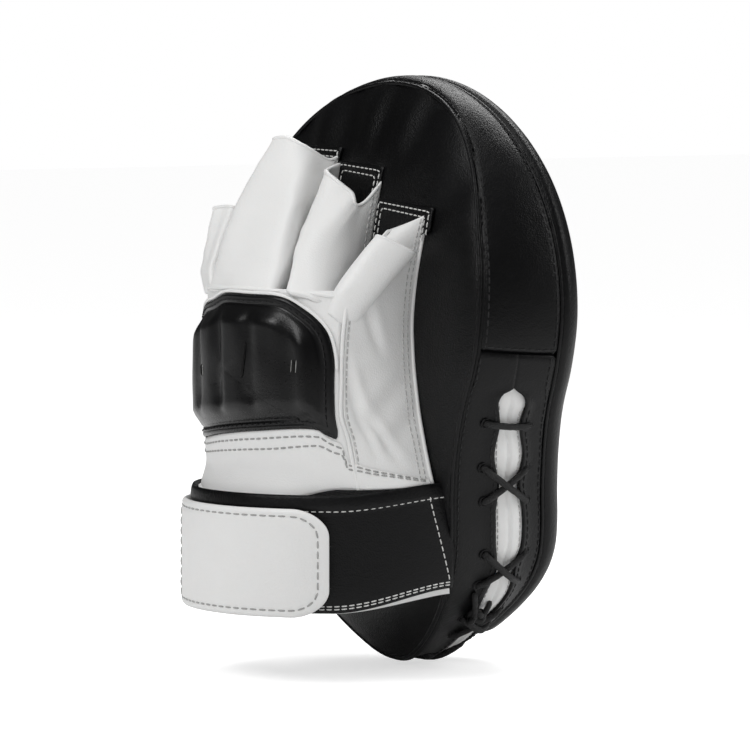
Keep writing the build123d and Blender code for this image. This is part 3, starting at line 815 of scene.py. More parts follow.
def heel_point(behind):
    """Heel wall in front of the opening, or behind it, with a lifted edge at the slot."""
    def point(u, v):
        place = lerp(SEAM_P, SEAM_T, u)
        slot_front, slot_back = slot_edges(place)
        if behind:
            depth, from_slot = lerp(slot_back, 1.0, v), v * (1 - slot_back)
        else:
            depth, from_slot = v * slot_front, (1 - v) * slot_front
        lift = (1.3 * gauss(from_slot * wall_depth(place), 3.2)
                * ramp(-seams(place)[0][2], -SLOT_TOP - 2, -SLOT_TOP + 4))
        from_seam = min(u, 1 - u) * (SEAM_T - SEAM_P) * PERIMETER
        return wall_skin(place, depth, from_seam, lift)
    return point


upper = Surface(upper_point, inside=(0, 0, 0))
heel_front = Surface(heel_point(behind=False), inside=(0, -38, 0))
heel_back = Surface(heel_point(behind=True), inside=(0, -20, 0))
upper.mesh("side_band_leather", 260, 22, 1.8, BLACK, "pad", ["side_band_upper"])
heel_front.mesh("heel_front_leather", 260, 12, 1.8, BLACK, "pad", ["heel_rim_front"])
heel_back.mesh("heel_back_leather", 260, 16, 1.8, BLACK, "pad", ["heel_rim_back"])

# white padded gusset under the lacing
GUSSET_P, GUSSET_T = u_at(SLOT_TOP + 1.0, 1), u_at(SLOT_TOP + 1.0, -1)


def gusset_point(u, v):
    place = lerp(GUSSET_P, GUSSET_T, u)
    slot_front, slot_back = slot_edges(place)
    depth = wall_depth(place)
    half = max((slot_back - slot_front) / 2 + 2.2 / depth, 1.0 / depth)
    w = (v - 0.5) * 2
    lobe = abs(w)
    base = wall(place, (slot_front + slot_back) / 2 + w * half)
    height = 2.4 * (1 - lobe**2.6) - 0.9 * gauss(w, 0.10)
    height -= 1.9 * lace_pinch(place) * (1 - lobe**2)
    height *= ramp(min(u, 1 - u) * (GUSSET_T - GUSSET_P) * PERIMETER, 0.0, 9.0)
    wrinkle = 0.35 * noise_at((base[0], base[1] * 0.4, base[2]), 0.22, 5.0) * (1 - lobe)
    return along(base, outward(place), height - 1.4 + wrinkle)


gusset = Surface(gusset_point, inside=(0, -25, 0))
gusset.mesh("gusset_leather", 420, 20, 1.4, WHITE, "pad", ["gusset_tongue"])
stitches("gusset_stitching", [gusset.row(v, 120, 3, 117) for v in (0.20, 0.80)],
         THREAD_PALE, "pad", length=2.0, gap=1.0, radius=0.25, lift=0.02)

# thin rolled welts in the front and back seam grooves
for name, seam, offset in (("front_seam_welt", 0, -1.35), ("back_seam_welt", 1, -1.5)):
    around = [seams(k / 420) for k in range(420)]
    tubes(name, [[along(s[seam], s[2], offset) for s in around]], 0.95, BLACK, "pad",
          closed=True)
stitches("side_stitching", [
    upper.row(0.075, 200), upper.row(0.91, 200),
    heel_front.row(0.2, 200), heel_back.row(0.88, 200),
    heel_front.row(0.80, 200, 14, 186), heel_back.row(0.10, 200, 14, 186),
    upper.column(0.006, 20, 1, 19), upper.column(0.994, 20, 1, 19),
], THREAD_BLACK, "pad", length=2.2, gap=1.3, radius=0.3, lift=0.05)


# ------------------------------------------------------------------ back panel
def panel_back(u, share):
    seam = seams(u)[1]
    x, z = mix(CENTRE, (seam[0], seam[2]), 1 - share)
    from_seam = share * hypot(seam[0] - CENTRE[0], seam[2] - CENTRE[1])
    y = back_y(z) + 4.2 * rise(from_seam, 9.0) - 1.2 * gauss(from_seam, 1.3) - 0.6
    # gathers that run in from the seam at the finger end and fade towards the middle
    amount = 2.1 * ramp(z, 15, 95) * gauss(from_seam - 13, 19.0)
    angle = u * 2 * pi
    y += amount * (sin(angle * 15 + 2.6 * sin(angle * 3.0)) * 0.55
                   + noise_at((sin(angle) * 5, cos(angle) * 5, 0.3), 1.0, 2.0) * 1.3)
    y += 0.4 * noise_at((x, 0, z), 0.035, 9.0) * ramp(from_seam, 0, 15)
    return (x, y, z)


def panel_inside(u, share):
    x, z = mix(CENTRE, inset_outline(u, 2.0, back_inset), 1 - share)
    return (x, back_y(z) - 0.6, z)


shares = [0.0, 0.008, 0.018, 0.03] + [lerp(0.03, 1.0, k / 34) for k in range(1, 35)]
pad_form("back_panel_leather", panel_back, panel_inside, shares, RING_STEPS, BLACK,
         "back_panel")


# ------------------------------------------------------------------ foam layers
def foam_layer(name, node, front, back, inset, profile=front_inset):
    """Slab between the depths front(z) and back(z), inset from the outline."""
    def side(depth):
        def point(u, share):
            x, z = mix(CENTRE, inset_outline(u, inset, profile), 1 - share)
            return (x, depth(z), z)
        return point
    pad_form(name, side(back), side(front), [0.0, 0.3, 0.6, 1.0], 96, FOAM, node)


foam_layer("foam_strike", "strike_foam",
           lambda z: front_y(z) - 14.5, lambda z: front_y(z) - 6.2, 20.0)
foam_layer("foam_backing", "face_backing_foam",
           lambda z: front_y(z) - 6.0, lambda z: front_y(z) - 0.6, 12.0)
foam_layer("foam_core", "core_foam",
           lambda z: front_y(z) + 0.4, lambda z: back_y(z) - 6.6, 8.5,
           lambda z: back_inset(z) + front_inset(z))
foam_layer("foam_palm", "back_foam",
           lambda z: back_y(z) - 6.2, lambda z: back_y(z) - 1.0, 4.5, back_inset)

# ------------------------------------------------------------------ lacing
BRAID = dict(twist=1.9, bump=0.035)
HOLE_FRONT = RIM_FRONT - 3.0                    # depths of the two rows of holes
HOLE_BACK = RIM_FRONT + SLOT_WIDTH + 5.5
HOLE_TOP_BACK = RIM_FRONT + SLOT_WIDTH + 4.5    # back hole of the topmost cord
LACE_HALF = 7.0                                 # half the spread of a crossing
HOLE_RADIUS = 2.15
cords, holes = [], []


def wall_out(u, depth, offset):
    """Point on the side wall, depth mm behind the front seam."""
    return along(wall(u, depth / wall_depth(u)), outward(u), offset)


def cord(start, end, bow):
    """Cord from one hole (u, depth) over the wall to another, arched by bow."""
    points = [wall_out(*start, -2.2), wall_out(*start, 0.4)]
    for k in range(1, 14):
        points.append(wall_out(*mix(start, end, k / 14), 1.25 + bow * arch(k / 14) ** 1.5))
    return points + [wall_out(*end, 0.4), wall_out(*end, -2.2)]


def crossing(u0, u1, bow_under, bow_over):
    cords.append(cord((u0, HOLE_FRONT), (u1, HOLE_BACK), bow_under))
    cords.append(cord((u1, HOLE_FRONT), (u0, HOLE_BACK), bow_over))
    holes.extend((u, d) for d in (HOLE_FRONT, HOLE_BACK) for u in (u0, u1))


for side in (1, -1):
    u = u_at(LACE_Z[0], side)
    cords.append(cord((u, HOLE_FRONT), (u, HOLE_TOP_BACK), 0.6))
    holes += [(u, HOLE_FRONT), (u, HOLE_TOP_BACK)]
    for lace_z in LACE_Z[1:]:
        if lace_z < -100:
            # near the heel the outline runs almost level, so measure along it
            u, reach = u_at(lace_z, side), side * LACE_HALF / PERIMETER
            crossing(u - reach, u + reach, 0.5, 3.0)
        else:
            crossing(u_at(lace_z + LACE_HALF, side), u_at(lace_z - LACE_HALF, side), 0.5, 3.0)
crossing(0.5 - LACE_HALF / PERIMETER, 0.5 + LACE_HALF / PERIMETER, 0.2, 2.4)

# knot on the thumb side, with two short tails
knot_u = u_at(-101.0, -1)
knot_centre = wall_out(knot_u, RIM_FRONT + SLOT_WIDTH + 2.0, 3.4)
knot_out = outward(knot_u)
knot_around = unit(cross(knot_out, (0.0, 1.0, 0.0)))
knot_depth = unit(cross(knot_around, knot_out))


def knot_point(around, depth, out):
    p = along(along(knot_centre, knot_around, around), knot_depth, depth)
    return along(p, knot_out, out)


knot = []
for k in range(60):
    angle = 2 * pi * k / 60
    knot.append(knot_point((sin(angle) + 2 * sin(2 * angle)) * 1.25,
                           (cos(angle) - 2 * cos(2 * angle)) * 1.25, -sin(3 * angle) * 1.3))
tails = []
for sign, length, slide in ((1, 15.0, 0.9), (-1, 11.0, 0.6)):
    tails.append([knot_point(-length * s * slide, sign * (1.5 + length * s * 0.35),
                             (1 - s) - 2.6 * s * s) for s in [k / 9 for k in range(10)]])
tubes("lace_cord", cords, 1.42, CORD, "pad", ["side_lace"], sides=14, **BRAID)
tubes("lace_knot", [knot], 1.3, CORD, "pad", sides=12, closed=True, **BRAID)
tubes("lace_tails", tails, 1.25, CORD, "pad", sides=12, **BRAID)


def hole_rim(u, depth):
    backwards = (0.0, 1.0, 0.0)
    around = unit(cross(outward(u), backwards))
    centre = wall_out(u, depth, 0.05)
    angles = [2 * pi * k / 20 for k in range(20)]
    return [along(along(centre, backwards, HOLE_RADIUS * cos(a)), around,
                  HOLE_RADIUS * sin(a)) for a in angles]


tubes("lace_hole_edges", [hole_rim(*h) for h in holes], 0.42, BLACK, "pad", closed=True)

# ------------------------------------------------------------------ palm lining, patches
# share of the outline and drop in mm of each ring of a patch
PATCH_RINGS = ((1.0, 0.5), (0.985, 0.12), (0.96, 0.0), (0.8, 0.0), (0.55, 0.0), (0.28, 0.0))
PATCH_THICKNESS = 1.2
PATCH_LIFT = 0.95


def palm_y(z):
    """Back panel surface where the hand lies, well inside the seam."""
    return back_y(z) + 3.6


def patch(name, corners, material, lift, nodes=()):
    """Thin sheet on the back panel, corners as (x, z)."""
    centre = centre_of(corners)
    rim = spaced(corners + corners[:1], 2.5, 2)
    top = []
    for share, drop in PATCH_RINGS:
        places = [mix(centre, p, share) for p in rim]
        top.append([(x, palm_y(z) + lift - drop + 0.25 * noise_at((x, 0, z), 0.06, 4.0), z)
                    for x, z in places])

    def under(x, z):
        return (x, palm_y(z) + lift - PATCH_THICKNESS, z)

    cx, cz = centre
    closed_sheet(name, top, (cx, palm_y(cz) + lift, cz), [[under(*p) for p in rim]],
                 under(*centre), material, "pad", nodes)


patch("palm_cloth", [(-47, 30), (-48, 0), (-54, -46), (-51, -87),
                     (53, -87), (59, -46), (57, 0), (57, 30)], LINING, 0.6, ["palm_lining"])
# name, corners (x, z), node replaced
FINGER_PATCHES = [
    ("patch_index", [(-47, 30), (-48.5, 60), (-54, 62), (-54, 71), (-14.6, 74), (-14.6, 30)],
     ["finger_patches"]),
    ("patch_middle", [(-14, 30), (-14, 87), (18.4, 89), (18.4, 30)], ()),
    ("patch_ring", [(19, 30), (19, 94.5), (45.6, 95), (45.6, 30)], ()),
    ("patch_pinky", [(46.2, 30), (46.2, 84), (65, 80), (65, 30)], ()),
]
INDEX_STITCHED = [(-54, 61.5), (-54, 71), (-14.6, 74), (-14.6, 30)]


def patch_row(corners, inset):
    """Stitch path up, across and down, inset from all edges but the lowest."""
    cx, cz = centre_of(corners)
    line = [(x + (inset if x < cx else -inset), z - (inset if z > cz else 0))
            for x, z in corners]
    return [((x, palm_y(z) + PATCH_LIFT, z), (0.0, 1.0, 0.0))
            for x, z in spaced(line, 1.0, 2) + line[-1:]]


patch_rows = []
for name, corners, nodes in FINGER_PATCHES:
    patch(name, corners, BLACK, PATCH_LIFT, nodes)
    stitched = INDEX_STITCHED if name == "patch_index" else corners
    patch_rows += [patch_row(stitched, inset) for inset in (1.6, 4.0)]
stitches("patch_stitching", patch_rows, THREAD_WHITE, "pad",
         length=2.1, gap=1.0, radius=0.28, lift=0.05)

# ------------------------------------------------------------------ hand compartment
HAND_X, HAND_Y, HAND_RADIUS = 2.5, 8.5, 67.0   # arc over the back of the hand
SHELL_BOTTOM = -44.5
DORSAL_TOP = 37.5
PINKY_TOP = 36.5
PINKY_SEAM_Y = 45.5
# thumb flank stations: z, foot x, seam x, seam y
THUMB_STATIONS = [
    (-44.5, -60.5, -50.6, 51.2), (-35.5, -58.5, -49.4, 52.6), (-23.5, -56.0, -47.5, 54.0),
    (-13.5, -54.0, -47.0, 57.2), (0.0, -51.6, -47.0, 57.0), (12.5, -49.6, -47.0, 56.7),
    (25.0, -48.3, -47.0, 55.4), (40.5, -48.6, -45.0, 50.8), (51.0, -49.3, -43.0, 41.3),
    (62.0, -50.0, -40.0, 26.8),
]
THUMB_FOOT = [(foot_x, z) for z, foot_x, _, _ in THUMB_STATIONS]
THUMB_SEAM = [(x, y, z) for z, _, x, y in THUMB_STATIONS]
# pulled creases: start z and v, end z and v, depth, width in v
THUMB_CREASES = [
    (14.0, 0.97, -30.0, 0.70, 1.5, 0.055),
    (4.0, 0.99, -34.0, 0.42, 1.1, 0.075),
    (38.0, 0.80, 12.0, 0.50, 0.9, 0.07),
]
# (z, value) of the side edges of the back of the hand, and of the pinky flank's foot
DORSAL_THUMB_X = [(-44.5, -50.6), (-35.5, -49.4), (-23.5, -47.5), (0, -47.0), (37.5, -45.4)]
DORSAL_THUMB_Y = [(-44.5, 51.2), (-35.5, 52.6), (-23.5, 54.0), (-13.5, 57.2), (12.5, 56.7),
                  (25, 55.4), (37.5, 52.0)]
DORSAL_PINKY_X = [(-44.5, 60.0), (0, 58.4), (37.5, 58.0)]
PINKY_FOOT_X = [(-44.5, 65.6), (-20, 63.4), (0, 61.8), (36.5, 61.6)]


def foot_y(z):
    return back_y(z) + 3.4


def thumb_point(u, v):
    """u 0 at the wrist to 1 at the finger end, v 0 at the foot to 1 at the seam."""
    foot_x, foot_z = spline(THUMB_FOOT, u)
    foot_z += 6.5 * ramp(foot_z, 40, 62)
    foot = (foot_x, foot_y(foot_z), foot_z)
    seam = spline(THUMB_SEAM, u)
    x, y, z = mix(foot, seam, v)
    belly = 1.7 * arch(v) * ramp(dist(foot, seam), 10, 30)
    # soft folds, strongest near the wrist
    fold = 0.85 * noise_at((x * 0.3, y * 0.8, z * 1.6), 0.055, 11.0) * arch(v)
    fold += 0.9 * sin(0.33 * (z + 0.9 * y)) * gauss(z + 12, 14.0) * arch(v) * 0.55
    for start_z, start_v, end_z, end_v, depth, width in THUMB_CREASES:
        t = (start_z - z) / (start_z - end_z)
        if -0.15 < t < 1.15:
            off = v - lerp(start_v, end_v, t)
            profile = gauss(off, width) - 0.55 * gauss(off + 1.7 * width, 1.3 * width)
            fold += (depth * arch(clamp(t * 0.8 + 0.1)) * profile
                     * arch(min(v * 1.02, 1.0)) ** 0.5)
    return (x - belly + fold * 0.9, y, z)


def hand_arc(x, offset):
    return HAND_Y + sqrt(max((HAND_RADIUS + offset) ** 2 - (x - HAND_X) ** 2, 0.0))


def hand_back_y(x, z, offset):
    """Arc over the hand, pulled down to the seams at both sides."""
    thumb_x, pinky_x = lookup(DORSAL_THUMB_X, z), lookup(DORSAL_PINKY_X, z)
    u = (x - thumb_x) / (pinky_x - thumb_x)
    thumb_pull = lookup(DORSAL_THUMB_Y, z) - hand_arc(thumb_x, offset)
    pinky_pull = PINKY_SEAM_Y - hand_arc(pinky_x, offset)
    return (hand_arc(x, offset) + thumb_pull * (1 - ramp(u, 0, 0.18))
            + pinky_pull * ramp(u, 0.86, 1.0))


def dorsal_point(u, v):
    """u 0 at the thumb seam to 1 at the pinky seam, v 0 at the wrist to 1 at the knuckles."""
    z = lerp(SHELL_BOTTOM, DORSAL_TOP, v)
    x = lerp(lookup(DORSAL_THUMB_X, z), lookup(DORSAL_PINKY_X, z), u)
    # sag towards the wrist, where the shell tucks under the strap
    return (x, hand_back_y(x, z, -0.3) - 1.4 * (1 - ramp(z, SHELL_BOTTOM, -24)), z)


def pinky_point(u, v):
    """u 0 at the wrist to 1 at the knuckles, v 0 at the foot to 1 at the seam."""
    z = lerp(SHELL_BOTTOM, PINKY_TOP, u)
    p = mix((lookup(PINKY_FOOT_X, z), foot_y(z), z),
            (lookup(DORSAL_PINKY_X, z), PINKY_SEAM_Y, z), v)
    belly = 1.4 * arch(v) + 0.7 * noise_at(p, 0.06, 21.0) * arch(v)
    return (p[0] + belly, p[1], p[2])


thumb_flank = Surface(thumb_point, inside=(0, 30, 0))
thumb_flank.mesh("thumb_flank_leather", 130, 60, 1.4, WHITE, "pad", ["thumb_flank"])
dorsal = Surface(dorsal_point, inside=(0, 10, 0))
dorsal.mesh("hand_back_leather", 90, 60, 1.6, WHITE, "pad", ["hand_back_shell"])
pinky_flank = Surface(pinky_point, inside=(0, 20, 0))
pinky_flank.mesh("pinky_flank_leather", 100, 36, 1.4, WHITE, "pad", ["pinky_flank"])


def ridge(name, path, radius, offset, body=None):
    """Raised white seam along a path."""
    points = [along(p, n, offset) for p, n in resample(path, 1.2)]
    return tubes(name, [points], radius, WHITE, body)


# name, surface, v, radius, offset
for name, surface, v, radius, offset in (
        ("thumb_seam_a", thumb_flank, 0.985, 0.85, 0.1),
        ("thumb_seam_b", thumb_flank, 0.945, 0.55, -0.1),
        ("thumb_foot_seam", thumb_flank, 0.02, 0.9, -0.2),
        ("pinky_seam_a", pinky_flank, 0.985, 0.85, 0.1),
        ("pinky_foot_seam", pinky_flank, 0.02, 0.9, -0.2)):
    ridge(name, surface.row(v, 60), radius, offset, "pad")
stitches("flank_stitching", [
    thumb_flank.row(0.10, 60), thumb_flank.row(0.17, 60),
    pinky_flank.row(0.12, 60), pinky_flank.row(0.20, 60),
    thumb_flank.row(0.915, 60), pinky_flank.row(0.93, 60),
], THREAD_PALE, "pad", length=1.9, gap=1.1, radius=0.26, lift=0.05)

# ------------------------------------------------------------------ padded knuckle panel
# corners (x, z) of its smooth outline
PANEL_CORNERS = [
    (-45, -22.5), (-45.5, 2), (-44, 15), (-40.5, 23), (-33, 30), (-24, 34.8), (-8, 35.4),
    (8, 35.2), (19, 32), (33, 29), (45, 22), (51, 10), (52, -4), (50, -27), (34, -27),
    (10, -24), (-12, -21.5), (-38, -19.5),
]
PANEL_CENTRE = (2.0, 4.0)
CHANNELS = [-29.5, -12.0, 7.0, 26.0]  # x of the hollows between the knuckles, at z = 0
# rings of the panel as shares of its outline
PANEL_SHARES = [1.0, 0.992, 0.98, 0.965, 0.95, 0.93, 0.91, 0.89, 0.87, 0.85, 0.82, 0.79, 0.76,
                0.72, 0.68, 0.64, 0.60, 0.55, 0.50, 0.45, 0.40, 0.34, 0.28, 0.22, 0.15, 0.08]


def segments(loop):
    return list(zip(loop, loop[1:] + loop[:1]))


def smooth_loop(corners, count):
    """Closed Catmull-Rom loop with count points per side."""
    n = len(corners)
    return [catmull(corners[i - 1], corners[i], corners[(i + 1) % n], corners[(i + 2) % n],
                    k / count) for i in range(n) for k in range(count)]


def outline_distance(sides, x, z):
    """Distance from (x, z) to the nearest of the segments."""
    best = 1e9
    for (ax, az), (bx, bz) in sides:
        dx, dz = bx - ax, bz - az
        t = clamp(((x - ax) * dx + (z - az) * dz) / max(dx * dx + dz * dz, 1e-9))
        best = min(best, hypot(x - ax - dx * t, z - az - dz * t))
    return best


PANEL_SIDES = segments(smooth_loop(PANEL_CORNERS, 6))
PANEL_RIM = [p for a, b in PANEL_SIDES for p in (a, mix(a, b, 0.5))]


def panel_distance(x, z):
    """Distance to the panel outline, negative outside it."""
    inside = False
    for (ax, az), (bx, bz) in PANEL_SIDES:
        if (az > z) != (bz > z) and x < ax + (z - az) * (bx - ax) / (bz - az):
            inside = not inside
    best = outline_distance(PANEL_SIDES, x, z)
    return best if inside else -best


def panel_point(x, z, offset):
    """Point over the back of the hand, offset mm above the arc there."""
    n = unit((x - HAND_X, hand_arc(x, 0.0) - HAND_Y, 0.0))
    return along((x, hand_back_y(x, z, 0.0), z), n, offset)


def panel_height(x, z, d):
    """Height of the quilted panel, d mm inside its outline."""
    if d <= 0:
        return 0.4
    rim = 1.7 * rise(d, 0.7)
    padding = 4.1 * ramp(d, 3.9, 12.0)
    grooves = 1.1 * gauss(d - 4.1, 0.85) + 0.5 * gauss(d - 2.2, 0.35)
    channels = sum(gauss(x - c - 0.05 * z, 3.4) for c in CHANNELS)
    channels *= ramp(d, 5, 12) * ramp(z, -22, -6) * 1.9
    softness = 0.28 * noise_at((x, 0, z), 0.07, 6.1) * ramp(d, 3, 8)
    return 0.4 + rim + padding - grooves - channels + softness


def panel_top(x, z, d):
    return panel_point(x, z, panel_height(x, z, d))


panel_rings = [[panel_point(x, z, panel_height(x, z, 0.0)) for x, z in PANEL_RIM]]
for share in PANEL_SHARES[1:]:
    places = [mix(PANEL_CENTRE, p, share) for p in PANEL_RIM]
    panel_rings.append([panel_top(*p, panel_distance(*p)) for p in places])
closed_sheet("knuckle_panel_leather", panel_rings,
             panel_top(*PANEL_CENTRE, panel_distance(*PANEL_CENTRE)),
             [[panel_point(*p, -0.1) for p in PANEL_RIM]], panel_point(*PANEL_CENTRE, -0.1),
             GLOSS, "pad", ["knuckle_panel", "knuckle_foam"])


def panel_path(line, least=0.0):
    """(point, normal) on the panel along (x, z), where at least so far from its edge."""
    out = []
    for x, z in spaced(line, 1.0, 2):
        d = panel_distance(x, z)
        if d >= least:
            p = panel_top(x, z, d)
            out.append((p, unit((p[0] - HAND_X, p[1] - HAND_Y, 0.0))))
    return out


def panel_inset(distance):
    """Panel outline moved inwards, closed with its first point."""
    out = []
    n = len(PANEL_RIM)
    for i, (x, z) in enumerate(PANEL_RIM):
        a, b = PANEL_RIM[i - 2], PANEL_RIM[(i + 2) % n]
        tx, tz, _ = unit((b[0] - a[0], b[1] - a[1], 0))
        nx, nz = tz, -tx
        if nx * (PANEL_CENTRE[0] - x) + nz * (PANEL_CENTRE[1] - z) < 0:
            nx, nz = -nx, -nz
        out.append((x + nx * distance, z + nz * distance))
    return out + [out[0]]


stitches("panel_stitching", [panel_path(panel_inset(2.9), 2.3)], THREAD_BLACK, "pad",
         length=2.0, gap=1.2, radius=0.24, lift=0.0)

# three slits between the knuckles, (x, z) at both ends, each drawn as a dark cord: painted
# shade inside the opening; the short ones get a thin grey line on each side: painted glints on
# the slit's lips
SLITS = (((20.5, 4.6), (20.0, -1.2)), ((-9.5, 15.5), (-8.0, 0.0)), ((-31.2, 9.0), (-30.8, 3.0)))
# distance of the painted glint lines from each short slit
SLIT_GLINT_OFFSET = 1.15
slits, slit_glints = [], []
for a, b in SLITS:
    slits.append([along(p, n, -0.15) for p, n in panel_path([a, b])])
    if a[1] < 10:
        for dx in (-SLIT_GLINT_OFFSET, SLIT_GLINT_OFFSET):
            line = [(a[0] + dx, a[1]), (b[0] + dx, b[1])]
            slit_glints.append([along(p, n, 0.05) for p, n in panel_path(line)])
# dark cords along the slits: painted shade inside the openings
tubes("panel_vent_shade", slits, 0.85, HOLE, "pad")
# thin grey lines beside the short slits: painted glints on their lips
tubes("panel_vent_glints", slit_glints, 0.17, THREAD_GREY, "pad", sides=6)
# white piping along the top edge
piping = sorted([p for p in panel_inset(-0.7) if p[1] > 4], key=lambda p: p[0])
tubes("panel_piping_cord", [[panel_point(x, z, 0.9) for x, z in piping]], 0.72, WHITE,
      "pad", ["panel_piping"])

# ------------------------------------------------------------------ band round the hand
# upper edge, z at x over the back of the hand, at y on the thumb flank, and at the
# section place s on the pinky flank
BAND_TOP = [(-52.0, -26.0), (-45.0, -23.0), (-40.7, -19.5), (-11.7, -21.5), (10.0, -24.0),
            (35.0, -27.5), (50.0, -27.5), (60.0, -28.0)]
BAND_TOP_THUMB = [(16.0, -42.0), (30.5, -39.0), (51.4, -32.5), (56.5, -25.0)]
BAND_TOP_PINKY = [(1.0, -28.0), (1.35, -33.5), (2.0, -41.5)]
BAND_LOWEST = -49.5
SECTION_FLOOR = -44.4
SECTION_BEND = 0.10


def hand_section(s, z, offset):
    """Outside of the hand compartment: s from -1 (thumb foot) over 0..1 (back of the
    hand) to 2 (pinky foot)."""
    if s < 0:
        low, high = 0.0, 1.0
        for _ in range(18):
            middle = (low + high) / 2
            if thumb_point(middle, 1.0)[2] < z:
                low = middle
            else:
                high = middle
        surface, uv = thumb_flank, ((low + high) / 2, 1 + s)
    elif s > 1:
        surface, uv = pinky_flank, ((z - SHELL_BOTTOM) / (PINKY_TOP - SHELL_BOTTOM), 2 - s)
    else:
        surface, uv = dorsal, (s, (z - SHELL_BOTTOM) / (DORSAL_TOP - SHELL_BOTTOM))
    return along(surface.point(*uv), surface.normal(*uv), offset)


def low_section(s, z, offset):
    """hand_section carried on below the shell's lower edge."""
    x, y, section_z = hand_section(s, max(z, SECTION_FLOOR), offset)
    return (x, y, section_z + min(z - SECTION_FLOOR, 0.0))


def bent_section(s, z, offset):
    """low_section with soft bends where the flanks meet the back of the hand."""
    for corner in (0.0, 1.0):
        if abs(s - corner) < SECTION_BEND:
            t = (s - corner + SECTION_BEND) / (2 * SECTION_BEND)
            a, b, c = [low_section(corner + shift, z, offset)
                       for shift in (-SECTION_BEND, 0.0, SECTION_BEND)]
            return tuple((1 - t) ** 2 * i + 2 * t * (1 - t) * j + t * t * k
                         for i, j, k in zip(a, b, c))
    return low_section(s, z, offset)


def band_top(s):
    if s < 0:
        return lookup(BAND_TOP_THUMB, lerp(51.0, 18.0, -s))
    if s > 1:
        return lookup(BAND_TOP_PINKY, s)
    return lookup(BAND_TOP, lerp(-50.0, 60.0, s))


def band_point(u, v):
    s = lerp(-0.94, 1.94, u)
    top = band_top(s)
    # over the back of the hand the lower edge reaches down behind the strap
    tuck = ramp(s, 0.03, 0.26) * (1 - ramp(s, 0.80, 0.99))
    bottom = lerp(-44.2, BAND_LOWEST, tuck)
    z = lerp(bottom, top, v)
    puff = 0.55 * rise(min(v, 1 - v) * (top - bottom), 1.3)
    return bent_section(s, z, 1.0 + puff + 3.0 * tuck * (1 - ramp(z, BAND_LOWEST, -36.0)))


band = Surface(band_point, inside=(0, 15, -35))
band.mesh("hand_band_leather", 150, 22, 1.2, WHITE, "pad", ["hand_back_band"])
stitches("band_stitching", [band.row(v, 90, 2, 88) for v in (0.885, 0.735)],
         THREAD_GREY, "pad", length=2.3, gap=1.2, radius=0.34, lift=0.05)

# ------------------------------------------------------------------ finger stalls
# fold seed, then cross sections at the knuckles, half way and at the mouth; each runs
# from the thumb-side foot over the finger to the pinky-side foot
STALLS = {
    "middle": (13.2, (
        [(-14, 19, 38), (-27, 38, 37.5), (-38.5, 57, 33), (-34, 66, 35.6), (-25, 68.6, 37.2),
         (-8, 45, 38), (16, 19, 40)],
        [(-14, 16, 58), (-17.5, 28, 56), (-19, 42, 54), (-13, 49, 56), (-4, 47, 58),
         (10, 32, 60), (18, 15, 60)],
        [(-15, 12.5, 81), (-14, 20, 73), (-14, 24, 72), (-11, 24.5, 77), (2, 28, 85),
         (14, 20, 86), (18, 11.5, 88)])),
    "ring": (9.8, (
        [(18.5, 19, 40), (2, 40, 38), (-18, 69.8, 36), (2, 74.6, 36.3), (28, 70.5, 35),
         (42, 50, 36), (45, 19, 38)],
        [(19, 13.5, 74), (12, 30, 72), (4, 46, 70), (20, 56, 66), (36, 53.5, 68),
         (43, 32, 70), (45, 13.5, 74)],
        [(20, 8.2, 91.5), (20.5, 14.5, 90), (24, 23.5, 95.5), (31, 27.7, 99.5),
         (40, 29.2, 99), (44, 20, 98), (45, 9.2, 95)])),
    "pinky": (11.5, (
        [(46, 18.5, 36), (36, 45, 34.5), (28, 66, 33.5), (36, 65, 33.2), (45, 60, 32.5),
         (56, 38, 33), (60, 19, 34)],
        [(46, 18, 45), (44, 38, 45), (40, 60, 45), (47, 60, 44), (55, 56.2, 43),
         (62, 38, 44), (63.5, 18, 44)],
        [(47, 14, 72), (46, 30, 70), (46, 45.3, 70), (52, 47, 70), (58, 48.3, 69),
         (64, 34, 68), (65, 15, 70)])),
}


def stall_point(sections, seed):
    """Surface through the sections with small folds, none at the feet."""
    def point(u, v):
        x, y, z = p = spline([spline(section, u) for section in sections], v)
        fold = 0.7 * noise_at(p, 0.05, seed)
        fold += 0.5 * noise_at((x * 0.5, y * 0.5, z * 2.2), 0.09, seed + 4)
        # gathers at the knuckle seam
        fold += (0.75 * sin(u * 24.0 + seed + 1.5 * sin(u * 9.0)) * gauss(v, 0.20)
                 * ramp(v, 0.0, 0.03))
        fold += (0.9 * noise_at((u * 9.0, 0.3, v * 1.6), 1.0, seed + 9)
                 * gauss(v - 0.35, 0.35))
        fold *= arch(clamp(u))
        return (x + 0.25 * fold, y + fold, z)
    return point


stall_surfaces, stall_objects = {}, {}
for name, (seed, sections) in STALLS.items():
    x, y, z = [sum(p[i] for p in sections[1]) / 7 for i in range(3)]
    surface = Surface(stall_point(sections, seed), inside=(x, y - 12, z))
    stall_surfaces[name] = surface
    stall_objects[name] = surface.mesh("stall_%s_leather" % name, 72, 44, 1.5, WHITE,
                                       nodes=["stall_" + name])

# index stall: a soft tube folded over towards the thumb side
INDEX_LINE = [(-40.5, 53.6, 24.0), (-44.4, 48.9, 34.5), (-47.6, 40.0, 46.0),
              (-49.4, 30.0, 56.5)]
INDEX_AXIS = unit((-8.0, -23.5, 29.5))
INDEX_WIDE = unit(cross(INDEX_AXIS, (-0.809, 0.588, 0.0)))
INDEX_DEEP = unit(cross(INDEX_WIDE, INDEX_AXIS))
# (v, half width) and (v, half depth)
INDEX_WIDTHS = [(0.0, 7.2), (0.35, 8.2), (1.0, 8.9)]
INDEX_DEPTHS = [(0.0, 5.6), (0.4, 5.2), (1.0, 4.6)]


